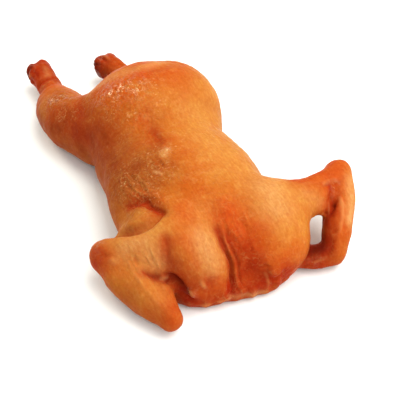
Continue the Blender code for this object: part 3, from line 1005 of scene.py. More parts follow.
def right_wing() -> Wing:
    """Shape the bird's right wing, which lies low with its hand folded inside.

    Returns:
        The wing.
    """
    return Wing(
        name="right_wing",
        upper_arm=Limb(
            ((-38, -82, 42, 20, 14), (-58, -72, 32, 16, 13), (-75.5, -61.5, 23, 10, 11)), 12
        ),
        forearm=Limb(
            ((-75.5, -63, 20, 9, 10.5), (-70.5, -83, 19, 14, 13.5), (-65, -106, 16, 10.5, 14),
             (-57.5, -126, 12, 6.5, 9.5)), 8
        ),
        hand=Limb(((-57.5, -125, 12, 7.5, 9), (-55, -114, 18, 7, 9), (-52, -104, 22, 6, 8)), 3),
        web=Web(((-42, -96, 36), (-68, -74, 24), (-56, -102, 20)), 7, 7),
        main=[
            # armpit and the bulge under it
            Line(
                ((-57, -41, 38, 0), (-51, -45, 44, 1.5), (-47, -48, 48, 2.5),
                 (-42.5, -51, 51, 3.6), (-40, -56, 53, 4.6), (-38, -62, 54, 4.6),
                 (-36.5, -69, 55, 3.6), (-36, -76, 56, 1.5)), 4
            ),
            Line(((-48, -60, 50, -2.4), (-54, -66, 46, -2.6)), 8),
            # where the forearm lies against the shoulder, its ridge and the hollow at its tip
            Line(
                ((-66, -92, 32, 0), (-62, -97, 31, 1.4), (-56, -103, 30, 2.4),
                 (-50, -107.5, 29, 3), (-46, -111, 27, 4)), 3
            ),
            Line(
                ((-69, -84, 34, 0), (-65, -94, 32, -1), (-64, -105, 29, -1.3),
                 (-61, -115, 25, -1.2), (-59, -124, 21, -0.5)), 4
            ),
            Line(((-43, -112, 24, 1), (-43.5, -117, 17, 4), (-44, -121, 8, 5)), 4.5),
            Line(((-38, -118, 20, -2.2), (-37.5, -119, 19, -2.2)), 3),
            # soft valley between the wing and its shoulder lobe
            Line(
                ((-43, -86, 57, 0), (-45, -93, 54, 1.5), (-47, -97, 49, 2), (-49, -101, 42, 2),
                 (-50, -105, 35, 1)), 6
            ),
            # rear edge of the upper arm, where it lies over the flank
            Line(
                ((-37, -72, 53, 1), (-43, -75, 53, 4), (-50, -75, 50, 5.5), (-57, -71, 45, 5.5),
                 (-63, -64, 39, 4), (-68, -55, 31, 1.5), (-71, -48, 24, 0)), 4
            ),
        ],
        wrinkles=[
            # crease where the hand folds in, its flap and the hole behind it
            Line(
                ((-61, -97, 29, 0), (-57, -100, 28, 1.5), (-54, -103, 28, 1.8), (-50, -107, 28, 2)),
                1.3
            ),
            Line(((-55, -102, 29, 0), (-52, -104.5, 29, -0.9), (-48, -107, 29, -0.7)), 1.3),
            Line(
                ((-50, -105, 31, 1), (-46, -108, 30, 3.4), (-42, -112, 26, 2.6),
                 (-41, -115, 21, 1.2)), 2.2
            ),
            Line(((-45, -116, 20, 0), (-47, -117, 16, -1.2), (-46, -119, 10, -0.6)), 2),
            Line(((-40, -116, 24, 0), (-39, -119, 20, -0.8), (-38, -119, 16, 0)), 1.6),
            Line(((-41, -118, 14, 0.8), (-39, -119, 12, 0.8)), 1.8),
            # sharp arched fold over the armpit, the lip above it and the fine folds below it
            Line(
                ((-52, -44, 42, 0), (-47, -48, 46, 1), (-42, -50, 50, 1.8), (-39.5, -54, 51, 2.6),
                 (-38, -61, 51, 2.4), (-36, -67, 52, 1.8), (-35, -74, 54, 0.8)), 1.5
            ),
            Line(
                ((-43, -46, 52, 0), (-37, -50, 55, -0.5), (-35, -58, 56, -0.7),
                 (-33.5, -67, 56, -0.4)), 1.8
            ),
            Line(((-53, -47, 43, 0), (-51, -52, 45, -0.5), (-52, -60, 45, 0)), 1.0),
            Line(((-49, -50, 46, 0), (-47, -56, 49, -0.6), (-48, -64, 50, 0)), 1.0),
            Line(((-45, -54, 49, 0), (-43, -60, 51, -0.5), (-43, -67, 52, 0)), 1.0),
            # thin edge of the arm's skin where it lies over the bulge
            Line(
                ((-35, -70, 53, 0.3), (-38, -74, 53, 1), (-44, -77, 52, 1.8), (-50, -77, 50, 2),
                 (-57, -73, 45, 1.8), (-63, -66, 39, 1.4), (-69, -56, 31, 0.6)), 1.3
            ),
            # ridge along the forearm and the skin stretched over the elbow
            Line(
                ((-70, -81, 37, -0.3), (-69, -92, 33, -0.5), (-67, -106, 30, -0.6),
                 (-63, -121, 24, -0.4)), 1.5
            ),
            Line(((-82, -68, 31, 0.6), (-78, -73, 34, 0.9), (-75, -76, 35, 0.3)), 2),
            Line(((-77, -76, 34, -0.8), (-76, -80, 34, -0.8)), 3),
            Line(((-66, -83, 39, 0), (-66, -91, 35, -0.7), (-64, -99, 32, 0)), 0.9),
            Line(((-63, -85, 42, 0), (-62, -92, 37, -0.8), (-60, -98, 31, 0)), 0.9),
            Line(((-58, -87, 45, 0), (-57.5, -92, 40, -0.8), (-56, -98, 34, 0)), 0.9),
            Line(
                ((-54, -88, 48, 0), (-54, -93, 43, -0.8), (-53, -98, 37, -0.5), (-52, -103, 32, 0)),
                1.0
            ),
            *Fan(
                ((-70, -78, 38), (-68, -90, 34), (-66, -104, 31)),
                ((-60, -80, 45), (-59, -91, 39), (-58, -98, 31)),
                count=12, depth=0.32, half_width=0.9, seed=61,
            ).lines(),
            *Fan(
                ((-60, -80, 45), (-57, -90, 42), (-56, -97, 34)),
                ((-49, -84, 52), (-50, -94, 46), (-51, -102, 36)),
                count=13, depth=0.32, half_width=0.9, seed=62,
            ).lines(),
            *Fan(
                ((-60, -102, 28), (-57, -112, 25), (-55, -124, 20)),
                ((-52, -106, 26), (-51, -114, 22), (-52, -124, 16)),
                count=4, depth=0.3, half_width=1.2, seed=63,
            ).lines(),
            # pore ridges over the armpit
            Line(
                ((-42, -20, 51, 0), (-40, -26, 53, -0.2), (-42, -35, 52.5, -0.4),
                 (-40, -45, 52, -0.5), (-38, -52, 51, 0)), 1.0
            ),
            Line(((-44, -26, 50, 0), (-44, -36, 51, 0.25), (-42, -46, 51, 0)), 1.6),
            Line(((-46, -28, 49, 0), (-45, -38, 50, -0.5), (-43, -46, 51, 0)), 1.0),
            Line(((-36, -28, 55, 0), (-35, -33, 56, -0.6), (-37, -38, 55, 0)), 0.9),
            Line(((-35, -38, 56, 0), (-34, -43, 56, -0.6), (-35, -49, 55, 0)), 1.0),
            Line(((-38, -33, 54, 0.2), (-37, -42, 55, 0.3), (-37, -49, 54, 0)), 1.4),
        ],
        stains=[
            # painted light on the web of the upper arm, which lies in shade
            Patch(
                Tone.GOLD_AND_LIGHT, ((-70, -74, 38), (-60, -78, 46), (-50, -86, 52), (-57, -93, 38)), 13, 0.9
            ),
            Patch(
                Tone.GOLD_AND_LIGHT, ((-68, -80, 40), (-58, -84, 46), (-56, -92, 40), (-58, -98, 32)), 11, 0.8
            ),
            Patch(Tone.PALE_AND_SHEEN, ((-66, -78, 41), (-56, -86, 46), (-54, -97, 38)), 7, 0.45),
            Patch(Tone.RUDDY, ((-84, -66, 24), (-82, -72, 28)), 14, 0.8),
            Patch(Tone.RUDDY, ((-62, -84, 44), (-57, -94, 40), (-52, -100, 34)), 10, 0.4),
            Patch(Tone.RUDDY, ((-55, -127, 18), (-60, -131, 16)), 14, 1.0),
            Patch(Tone.GOLD_AND_LIGHT, ((-61, -112, 26), (-60, -122, 22)), 7, 0.6),
            Patch(Tone.OCHRE, ((-76, -80, 32), (-74, -98, 24)), 13, 0.65),
            Patch(Tone.OCHRE, ((-77, -75, 34),), 4, 0.9),
            Patch(Tone.FLUSH, ((-84, -66, 24), (-80, -64, 30)), 7, 0.95),
            Patch(Tone.FLUSH, ((-82, -72, 28), (-80, -77, 27)), 5, 0.5),
            # painted shade down the armpit crease, in the crease of the hand and in the hollow
            # behind it
            Patch(Tone.FLUSH, ((-50, -46, 44), (-41, -54, 51), (-37, -70, 52)), 4, 0.95),
            Patch(Tone.FLUSH, ((-63, -97, 30), (-54, -104, 28), (-47, -107, 28)), 4.2, 1.0),
            Patch(Tone.HOLLOW_SHADE, ((-61, -97, 29), (-57, -100, 28), (-54, -102.5, 28)), 1.5, 0.55),
            Patch(Tone.FLUSH, ((-46, -108, 29), (-43, -113, 22), (-43, -120, 8)), 8, 1.0),
            Patch(
                Tone.HOLLOW_SHADE,
                ((-47, -107, 29), (-43, -111, 27), (-43, -116, 18), (-44, -120, 10)), 3.6, 0.6
            ),
            # painted shade in the valley beside the shoulder lobe and low along the floor
            Patch(Tone.RUDDY, ((-45, -94, 51), (-48, -101, 42)), 5, 0.8),
            Patch(Tone.SMOKE, ((-70, -118, 8), (-84, -85, 8)), 12, 0.5),
            # painted highlights on the flap of the hand's crease and on the nub
            Patch(Tone.PALE_AND_SHEEN, ((-54, -104, 29), (-50, -106, 29)), 1.1, 0.55),
            Patch(Tone.PALE_AND_SHEEN, ((-40, -117, 21),), 2, 0.7),
            Patch(Tone.WET, ((-80, -64, 33),), 4, 1.0),
            Patch(Tone.WET, ((-39, -118, 21),), 3, 0.8),
            Patch(Tone.FOLD, ((-66, -80, 38), (-56, -98, 32)), 10, 0.6),
        ],
    )


def left_wing() -> Wing:
    """Shape the bird's left wing, held up at the elbow with a gap inside it.

    Returns:
        The wing.
    """
    return Wing(
        name="left_wing",
        upper_arm=Limb(
            ((38, -85, 42, 21, 14), (66, -90, 40, 14.5, 12), (88, -86, 39, 10.5, 12),
             (103.5, -79.5, 38.6, 8.2, 10.4)), 12
        ),
        forearm=Limb(
            ((102.5, -79, 38.5, 8.6, 10.4), (95.5, -92, 33, 11.5, 12),
             (82.5, -110.5, 23, 10.8, 12), (72, -124, 12, 8.5, 9.5)), 6
        ),
        hand=Limb(
            ((72, -124, 11.5, 8, 9.5), (58, -119.5, 9.5, 9, 8.5), (40, -105.5, 9, 9, 6.5)), 4
        ),
        web=Web(((48, -95.5, 38), (92, -88, 38), (80, -101, 33.5)), 5, 5),
        main=[
            Line(((86, -91, 48, 1), (87, -98, 45, 3), (82, -103, 40, 3.5), (77, -107, 34, 2)), 3.5),
            Line(
                ((90, -98, 43, 0), (84, -106, 38, -1), (78, -118, 30, -1.5), (70, -128, 20, -1)), 3
            ),
            Line(
                ((104, -80, 44, 0), (104, -90, 40, -1.5), (98, -103, 32, -1.5), (86, -118, 20, -1)),
                4
            ),
        ],
        wrinkles=[
            # folds in the crook of the elbow
            Line(
                ((74, -96, 50, 0), (80, -95, 49, 0.9), (85, -95, 48, 1.3), (92, -95, 46, 1),
                 (97, -92, 46, 0)), 1.4
            ),
            Line(
                ((78, -99, 47, 0), (84, -99, 45, -0.6), (90, -99, 44, -0.6), (95, -98, 43, 0)), 1.3
            ),
            Line(((80, -92, 51, 0), (86, -92, 50, -0.5), (93, -91, 48, 0)), 1.4),
            Line(((83, -101, 42, 0.4), (88, -101, 42, 0.9), (93, -103, 41, 0)), 1.3),
            # torn edge of the web, its hanging point and the crease beside it
            Line(
                ((84, -98, 45, 0.8), (82, -103, 39, 2.2), (80, -107, 34, 1.8), (77, -110, 28, 0.8)),
                1.5
            ),
            Line(((79, -102, 38, -0.4), (78, -106, 33, -0.6), (78, -109, 29, -0.4)), 1.5),
            Line(((75, -101, 39, 0.5), (75.5, -105, 32, 1)), 1.1),
            Line(((72, -101, 39, -0.6), (72.5, -105, 32, -0.8)), 1.2),
            Line(((69, -101, 39, 0.4), (69, -105, 32, 0.8)), 1.1),
            Line(((65, -101, 40, -0.4), (65.5, -105, 34, -0.6)), 1.2),
            # ridges of the forearm, the dark inner edge and the sinews of the hand
            Line(
                ((88, -101, 42, -0.5), (87, -106, 40, -1), (83, -114, 36, -1),
                 (76, -123, 29, -0.5)), 1.4
            ),
            Line(((84, -104, 38, 0.5), (80, -111, 34, 1.2), (74, -120, 28, 1)), 1.4),
            Line(((66, -128, 21, 0.5), (60, -130, 16, 1.4), (52, -126, 14, 1)), 1.8),
            Line(((64, -124, 20, -0.2), (56, -122, 21, -0.4), (48, -118, 20, 0)), 2),
            Line(((70, -124, 24, 0), (66, -126, 23, 1.2), (63, -128, 20, 0.6)), 1.6),
            *Fan(
                ((98, -92, 46), (92, -104, 41), (84, -116, 33)),
                ((86, -100, 43), (80, -110, 37), (72, -122, 28)),
                count=7, depth=0.4, half_width=1.1, seed=71,
            ).lines(),
            *Fan(
                ((50, -84, 56), (66, -86, 54), (82, -86, 52)),
                ((52, -102, 50), (66, -102, 46), (78, -98, 48)),
                count=8, depth=0.3, half_width=1.3, seed=72,
            ).lines(),
            *Fan(
                ((64, -131, 12), (54, -128, 10), (44, -120, 8)),
                ((64, -128, 19), (54, -124, 18), (44, -116, 14)),
                count=4, depth=0.5, half_width=1.2, seed=73,
            ).lines(),
        ],
        stains=[
            Patch(Tone.GOLD_AND_LIGHT, ((48, -88, 54), (60, -97, 50)), 11, 0.5),
            Patch(Tone.PALE_AND_SHEEN, ((62, -97, 48), (70, -101, 42)), 5, 0.35),
            Patch(Tone.RUDDY, ((66, -91, 52), (86, -90, 51)), 9, 0.6),
            # painted light along the outer side of the forearm, which faces the light
            Patch(Tone.GOLD_AND_LIGHT, ((104, -90, 40), (96, -107, 38), (88, -118, 31)), 5, 0.8),
            Patch(Tone.PALE_AND_SHEEN, ((101, -93, 43), (97, -105, 38), (88, -117, 31)), 4.5, 0.7),
            Patch(Tone.GOLD_AND_LIGHT, ((86, -107, 39), (78, -119, 31)), 3, 0.5),
            Patch(
                Tone.RUDDY, ((104, -76, 42), (96, -80, 49), (80, -80, 50), (66, -80, 50)), 10, 1.0
            ),
            Patch(Tone.RUDDY, ((88, -102, 41), (80, -112, 34), (74, -122, 27)), 9, 0.9),
            Patch(Tone.RUDDY, ((94, -91, 47), (84, -97, 46), (79, -105, 37)), 9, 1.0),
            Patch(Tone.FLUSH, ((85, -96, 46), (83, -101, 43), (80, -107, 34)), 3.5, 0.95),
            Patch(Tone.PALE_AND_SHEEN, ((80, -94, 50), (90, -93, 48)), 1.8, 0.3),
            # deep red and painted shade along the inner edge of the forearm and over the hand,
            # which lies in shadow
            Patch(
                Tone.FLUSH,
                ((80, -107, 34), (74, -111, 29), (69, -119, 25), (65, -125, 22)), 5.0, 0.9
            ),
            Patch(Tone.HOLLOW_SHADE, ((75, -109, 29), (69, -115, 23), (65, -121, 19)), 2.0, 0.2),
            Patch(Tone.HOLLOW_SHADE, ((83, -100, 40),), 1.3, 0.6),
            Patch(Tone.HOLLOW_SHADE, ((82, -105, 37),), 1.6, 0.6),
            Patch(Tone.HOLLOW_SHADE, ((48, -116, 18), (54, -118, 19), (62, -121, 20)), 5.5, 0.95),
            Patch(Tone.HOLLOW_SHADE, ((52, -120, 18), (60, -123, 19)), 3, 0.6),
            Patch(Tone.RUDDY, ((66, -128, 10), (54, -126, 14), (44, -114, 12)), 15, 1.0),
            Patch(Tone.FLUSH, ((58, -126, 10), (50, -123, 12), (44, -112, 12)), 9, 0.8),
            Patch(Tone.SMOKE, ((62, -120, 18), (50, -113, 18)), 9, 1.0),
            Patch(Tone.SMOKE, ((58, -119, 18), (48, -112, 18)), 9, 1.0),
            Patch(Tone.FLUSH, ((62, -121, 18), (48, -112, 18)), 7, 1.0),
            Patch(Tone.SMOKE, ((64, -121, 16), (56, -118, 19), (50, -110, 18)), 6, 1.0),
            Patch(Tone.PALE_AND_SHEEN, ((62, -128, 15), (54, -127, 13)), 1.2, 0.3),
            Patch(Tone.WET, ((90, -94, 46), (84, -100, 43)), 3, 0.5),
            Patch(Tone.WET, ((54, -128, 14),), 4, 0.4),
        ],
    )


class Flesh:
    """The whole bird as one blended solid."""

    def __init__(self, parts: list[Part]) -> None:
        """Gather the forms, lines and stains of the parts.

        Args:
            parts: the torso, legs and wings, in the order in which they are blended.
        """
        self.forms = [form for part in parts for form in part.forms()]
        self.lines = [line for part in parts for line in part.main_lines()]
        self.fine_lines = [line for part in parts for line in part.fine_lines()]
        self.patches = [patch for part in parts for patch in part.patches()]

    def distance(self, points: Points) -> Points:
        """Measure how far points are from the skin.

        Args:
            points: rows of x, y and z in millimetres.

        Returns:
            Signed distances in millimetres, negative inside.
        """
        out = None
        for form in self.forms:
            away = form.distance(points)
            out = away if out is None else soft_join(out, away, form.blend)
        for line in self.lines:
            out = out + line.depth(points)
        return -soft_join(-out, points[:, 2], FLOOR_ROUND)

    def rough_mesh(self) -> bpy.types.Mesh:
        """Put the hulls of all forms in one mesh, still overlapping.

        Returns:
            The mesh, in metres.
        """
        body = bmesh.new()
        for form in self.forms:
            for balls in form.balls():
                add_hull(body, balls)
        mesh = bpy.data.meshes.new("smoked_chicken")
        body.to_mesh(mesh)
        body.free()
        return mesh


def add_hull(body: bmesh.types.BMesh, balls: Balls) -> None:
    """Add the hull of a group of scaled spheres to a mesh.

    Args:
        body: the mesh that takes the hull, in metres.
        balls: centres and half sizes in millimetres.
    """
    hull = bmesh.new()
    for centre, half in balls:
        place = Matrix.Translation(centre) @ Matrix.Diagonal((*half, 1.0))
        bmesh.ops.create_icosphere(hull, subdivisions=3, radius=1.0, matrix=place)
    found = bmesh.ops.convex_hull(hull, input=hull.verts)
    loose = [item for item in found["geom_interior"] if isinstance(item, bmesh.types.BMVert)]
    bmesh.ops.delete(hull, geom=list(set(loose)), context="VERTS")
    bmesh.ops.scale(hull, vec=(MILLIMETRE,) * 3, verts=hull.verts)
    piece = bpy.data.meshes.new("hull")
    hull.to_mesh(piece)
    hull.free()
    body.from_mesh(piece)
    bpy.data.meshes.remove(piece)


def get_points(item: bpy.types.Object) -> Points:
    """Read where an object's vertices are.

    Args:
        item: the mesh object.

    Returns:
        Rows of x, y and z in millimetres.
    """
    flat = np.empty(len(item.data.vertices) * 3)
    item.data.vertices.foreach_get("co", flat)
    return flat.reshape(-1, 3) / MILLIMETRE


def set_points(item: bpy.types.Object, points: Points) -> None:
    """Set the object's vertices from rows in millimetres."""
    item.data.vertices.foreach_set("co", (points * MILLIMETRE).ravel())
    item.data.update()


def get_normals(item: bpy.types.Object) -> Points:
    """Read which way an object's vertices face.

    Args:
        item: the mesh object.

    Returns:
        Rows of x, y and z, each of length 1.
    """
    flat = np.empty(len(item.data.vertices) * 3, dtype=np.float32)
    item.data.vertex_normals.foreach_get("vector", flat)
    return flat.reshape(-1, 3).astype(float)


def apply_modifiers(item: bpy.types.Object) -> None:
    """Replace an object's mesh by the result of its modifiers.

    Args:
        item: the mesh object.
    """
    bpy.context.view_layer.update()
    depsgraph = bpy.context.evaluated_depsgraph_get()
    finished = bpy.data.meshes.new_from_object(item.evaluated_get(depsgraph))
    item.modifiers.clear()
    item.data = finished


@dataclass
class Skin:
    """The bird's outer skin: drawn over the flesh, then roughened, stained and given painted shade
    and highlights.
    """

    flesh: Flesh
    name: str = "smoked_chicken_skin"
    passes: tuple[tuple[float, int], ...] = ((2.6, 5), (2.8, 4))  # mm of voxel, and pulls
    last_pulls: int = 2
    evening_steps: int = 3
    evening_share: float = 0.5
    slope_step: float = 0.3  # mm
    longest_pull: float = 2.5  # mm
    least_slope: float = 0.4  # that a pull along the normals reckons with
    least_square: float = 0.25  # least slope squared that a pull down the slope reckons with
    swell: Waves = Waves(26, 0.22, 3)
    ripple: Waves = Waves(11, 0.07, 11, 36)
    crinkle: Waves = Waves(3.9, 0.10, 23, 40)
    plain_crinkle: float = 0.45  # share of the crinkle that plain skin has
    goose_crinkle: float = 1.3  # what raised pores add to that share
    folds: Waves = Waves(7, 0.28, 31, 30, (1.0, 1.8, 1.8))
    pores: Pores = Pores(3.1, 0.95, 0.30, 5)
    line_fade: float = 3.0  # mm above the floor, where the fine lines have their full depth
    rough_fade: float = 8.0  # mm above the floor, where the unevenness has its full height
    smoke_height: float = 34.0  # mm, below which the skin turns browner and darker: smoke browning mixed with painted shade near the floor
    smoke_share: float = 0.6  # of that browning and painted shade, on the floor
    flush_depth: float = 9.0  # mm of furrow that would turn the skin wholly red, as painted shade
    flush_share: float = 0.6  # most that a furrow reddens the skin with painted shade
    pressed_depth: float = 1.6  # mm, at which a fine line's painted shade is darkest
    raised_start: float = 0.1  # mm, from which a fine ridge turns fatty, partly a painted highlight
    raised_span: float = 0.9  # mm more, at which it is palest
    offset: Points = field(default_factory=lambda: np.zeros(3))

    def build(self) -> bpy.types.Object:
        """Make the skin's mesh and set it on the frame.

        Returns:
            The skin as one closed mesh object in the scene, without a material.
        """
        item = bpy.data.objects.new(self.name, self.flesh.rough_mesh())
        bpy.context.scene.collection.objects.link(item)
        for voxel, pulls in self.passes:
            self.remesh(item, voxel)
            self.pull_down_slope(item, pulls)
            self.even_out(item)
        self.refine(item)
        self.pull_along_normals(item, self.last_pulls)
        self.refine_lines(item)
        self.pull_along_normals(item, self.last_pulls)
        points = get_points(item)
        low, high = (np.array(corner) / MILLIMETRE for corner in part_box(NODE))
        middle = (low + high) / 2 - (points.min(0) + points.max(0)) / 2
        self.offset = np.array((middle[0], middle[1], 0.0))
        rise = self.roughen(item)
        self.stain(item, points, rise)
        set_points(item, get_points(item) + self.offset)
        item.data.polygons.foreach_set("use_smooth", [True] * len(item.data.polygons))
        return item

    def remesh(self, item: bpy.types.Object, voxel: float) -> None:
        """Rebuild the skin as one closed mesh of even faces.

        Args:
            item: the skin.
            voxel: how wide the faces are, in millimetres.
        """
        modifier = item.modifiers.new("skin", "REMESH")
        modifier.mode = "VOXEL"
        modifier.voxel_size = voxel * MILLIMETRE
        apply_modifiers(item)

    def even_out(self, item: bpy.types.Object) -> None:
        """Smooth the skin a little, so that its faces lie evenly.

        Args:
            item: the skin.
        """
        modifier = item.modifiers.new("even", "SMOOTH")
        modifier.factor = self.evening_share
        modifier.iterations = self.evening_steps
        apply_modifiers(item)

    def refine(self, item: bpy.types.Object) -> None:
        """Split each face of the skin in four, smoothly.

        Args:
            item: the skin.
        """
        modifier = item.modifiers.new("fine", "SUBSURF")
        modifier.levels = 1
        modifier.render_levels = 1
        apply_modifiers(item)

    def refine_lines(self, item: bpy.types.Object) -> None:
        """Split the faces once more where fine lines cross them.

        Args:
            item: the skin.
        """
        points = get_points(item)
        near = np.zeros(len(points), dtype=bool)
        for line in self.flesh.fine_lines:
            near |= line.reaches(points)
        body = bmesh.new()
        body.from_mesh(item.data)
        faces = [face for face in body.faces if any(near[vert.index] for vert in face.verts)]
        edges = list({edge for face in faces for edge in face.edges})
        bmesh.ops.subdivide_edges(body, edges=edges, cuts=1, use_grid_fill=True)
        body.to_mesh(item.data)
        body.free()
        LOG.info("split %d faces along fine lines", len(faces))

    def pull_down_slope(self, item: bpy.types.Object, pulls: int) -> None:
        """Move the vertices onto the flesh by short pulls down its measured slope.

        Args:
            item: the skin.
            pulls: how often each vertex is moved.
        """
        points = get_points(item)
        for _ in range(pulls):
            slope = np.empty_like(points)
            for axis in range(3):
                step = np.zeros(3)
                step[axis] = self.slope_step
                change = self.flesh.distance(points + step) - self.flesh.distance(points - step)
                slope[:, axis] = change / (2 * self.slope_step)
            pull = self.flesh.distance(points) / np.maximum((slope**2).sum(1), self.least_square)
            points -= np.clip(pull, -self.longest_pull, self.longest_pull)[:, None] * slope
        set_points(item, points)

    def pull_along_normals(self, item: bpy.types.Object, pulls: int) -> None:
        """Move the vertices onto the flesh by short pulls along the way that they face.

        Args:
            item: the skin.
            pulls: how often each vertex is moved.
        """
        for _ in range(pulls):
            points = get_points(item)
            normals = get_normals(item)
            here = self.flesh.distance(points)
            ahead = self.flesh.distance(points + self.slope_step * normals)
            slope = np.maximum((ahead - here) / self.slope_step, self.least_slope)
            pull = np.clip(here / slope, -self.longest_pull, self.longest_pull)
            set_points(item, points - pull[:, None] * normals)

    def weights(self, points: Points) -> dict[Tone, Points]:
        """Add up the stains, painted light and painted shade of each tone.

        Args:
            points: rows of x, y and z in millimetres.

        Returns:
            For each tone, how strongly it covers each point, from 0 to 1.
        """
        bare = {tone: np.ones(len(points)) for tone in Tone}
        for patch in self.flesh.patches:
            bare[patch.tone] *= 1 - np.clip(patch.weight(points), 0, 1)
        # smoke browning and painted shade, growing towards the floor
        low = np.clip(1 - points[:, 2] / self.smoke_height, 0, 1)
        bare[Tone.SMOKE] *= 1 - self.smoke_share * low
        return {tone: 1 - left for tone, left in bare.items()}

    def roughen(self, item: bpy.types.Object) -> Points:
        """Press fine lines into the skin and raise its unevenness and pores.

        Args:
            item: the skin.

        Returns:
            How far each vertex was raised by the fine lines alone, in millimetres.
        """
        points = get_points(item)
        normals = get_normals(item)
        weight = self.weights(points)
        crinkled = self.plain_crinkle + self.goose_crinkle * weight[Tone.GOOSE]
        rise = self.swell.rise(points) + self.ripple.rise(points)
        rise += self.crinkle.rise(points) * crinkled
        rise += self.folds.rise(points) * weight[Tone.FOLD]
        rise += self.pores.rise(points) * weight[Tone.GOOSE]
        lines = -sum((line.depth(points) for line in self.flesh.fine_lines), np.zeros(len(points)))
        lines *= np.clip(points[:, 2] / self.line_fade, 0, 1)
        rise *= np.clip(points[:, 2] / self.rough_fade, 0, 1)
        set_points(item, points + (rise + lines)[:, None] * normals)
        return lines

    def stain(self, item: bpy.types.Object, points: Points, rise: Points) -> None:
        """Write how strongly each tone covers the skin, painted shade and highlights among them,
        for the finish to read.

        Args:
            item: the skin.
            points: where its vertices were before it was roughened.
            rise: how far the fine lines raised each of them.
        """
        weight = {tone.value: value for tone, value in self.weights(points).items()}
        # the furrows of the solid redden and darken the skin: painted shade
        deep = sum((np.maximum(line.depth(points), 0) for line in self.flesh.lines), 0.0)
        red = np.clip(deep / self.flush_depth, 0, self.flush_share)
        weight[Tone.FLUSH.value] = 1 - (1 - weight[Tone.FLUSH.value]) * (1 - red)
        # pressed wrinkles are darkened as painted shade and raised ridges lightened as fat and
        # painted highlight
        weight[PRESSED] = np.clip(-rise / self.pressed_depth, 0, 1)
        weight[RAISED] = np.clip((rise - self.raised_start) / self.raised_span, 0, 1)
        for name, value in weight.items():
            layer = item.data.attributes.new(name, "FLOAT", "POINT")
            layer.data.foreach_set("value", value.astype(np.float32))


Colour = tuple[float, float, float, float]
Socket = bpy.types.NodeSocket


@dataclass(frozen=True)
class Speckle:
    """Noise of a scale in waves per metre: 0 below a low level, its full share above a high one."""

    scale: float
    detail: float
    low: float
    high: float
    share: float = 1.0


class Sockets:
    """Small helper that adds and links the nodes of one material."""

    def __init__(self, material: bpy.types.Material) -> None:
        """Start on the material's own tree."""
        self.tree = material.node_tree

    def add(self, kind: str, **settings: object) -> bpy.types.Node:
        """Add a node.

        Args:
            kind: the node's type name.
            settings: its properties, or with an underscore in front a socket's plain value.

        Returns:
            The new node.
        """
        node = self.tree.nodes.new(kind)
        for key, value in settings.items():
            if key.startswith("_"):
                node.inputs[key[1:].replace("_", " ")].default_value = value
            else:
                setattr(node, key, value)
        return node

    def link(self, start: Socket, end: Socket) -> None:
        """Link two sockets."""
        self.tree.links.new(start, end)

    def value(self, name: str) -> Socket:
        """Return the output that gives one of the values written on the skin."""
        return self.add("ShaderNodeAttribute", attribute_name=name).outputs["Fac"]

    def stretched(self, place: Socket, scale: Row) -> Socket:
        """Draw the place out, for streaks.

        Args:
            place: the place on the skin.
            scale: how much finer things become along each axis; below 1 they grow longer.

        Returns:
            The scaled place.
        """
        node = self.add("ShaderNodeMapping", _Scale=scale)
        self.link(place, node.inputs["Vector"])
        return node.outputs["Vector"]

    def noise(self, place: Socket, scale: float, detail: float) -> Socket:
        """Make soft noise.

        Args:
            place: the place on the skin.
            scale: waves per metre.
            detail: how many finer layers are added.

        Returns:
            The noise, from 0 to 1.
        """
        node = self.add("ShaderNodeTexNoise", _Scale=scale, _Detail=detail)
        self.link(place, node.inputs["Vector"])
        return node.outputs["Fac"]

    def ramp(self, value: Socket, low: float, high: float) -> Socket:
        """Stretch a value and cut it off at 0 and 1.

        Args:
            value: what is stretched.
            low: the value that becomes 0.
            high: the value that becomes 1.

        Returns:
            The stretched value.
        """
        node = self.add("ShaderNodeMapRange", clamp=True, _From_Min=low, _From_Max=high)
        self.link(value, node.inputs["Value"])
        return node.outputs["Result"]

    def maths(self, kind: str, first: Socket, second: Socket | float) -> Socket:
        """Work out a sum, product or the like of two values.

        Args:
            kind: the operation's name.
            first: the first value.
            second: the second value, a socket or a plain number.

        Returns:
            The result.
        """
        node = self.add("ShaderNodeMath", operation=kind)
        self.link(first, node.inputs[0])
        if isinstance(second, (int, float)):
            node.inputs[1].default_value = second
        else:
            self.link(second, node.inputs[1])
        return node.outputs[0]

    def times(self, first: Socket, second: Socket | float) -> Socket:
        """Return the product of two values."""
        return self.maths("MULTIPLY", first, second)

    def plus(self, first: Socket, second: Socket | float) -> Socket:
        """Return the sum of two values."""
        return self.maths("ADD", first, second)

    def speckle(self, place: Socket, kind: Speckle) -> Socket:
        """Return the strength of a speckle at a place."""
        level = self.noise(place, kind.scale, kind.detail)
        return self.times(self.ramp(level, kind.low, kind.high), kind.share)

    def mix(
        self, share: Socket, first: Socket | Colour, second: Socket | Colour, blend: str = "MIX"
    ) -> Socket:
        """Mix two colours.

        Args:
            share: how much of the second colour to take.
            first: the colour below.
            second: the colour on top.
            blend: how the second colour acts on the first.

        Returns:
            The mixed colour.
        """
        node = self.add("ShaderNodeMix", data_type="RGBA", blend_type=blend)
        self.link(share, node.inputs[0])
        for number, colour in ((MIX_BELOW, first), (MIX_ABOVE, second)):
            if isinstance(colour, tuple):
                node.inputs[number].default_value = colour
            else:
                self.link(colour, node.inputs[number])
        return node.outputs[MIX_RESULT]


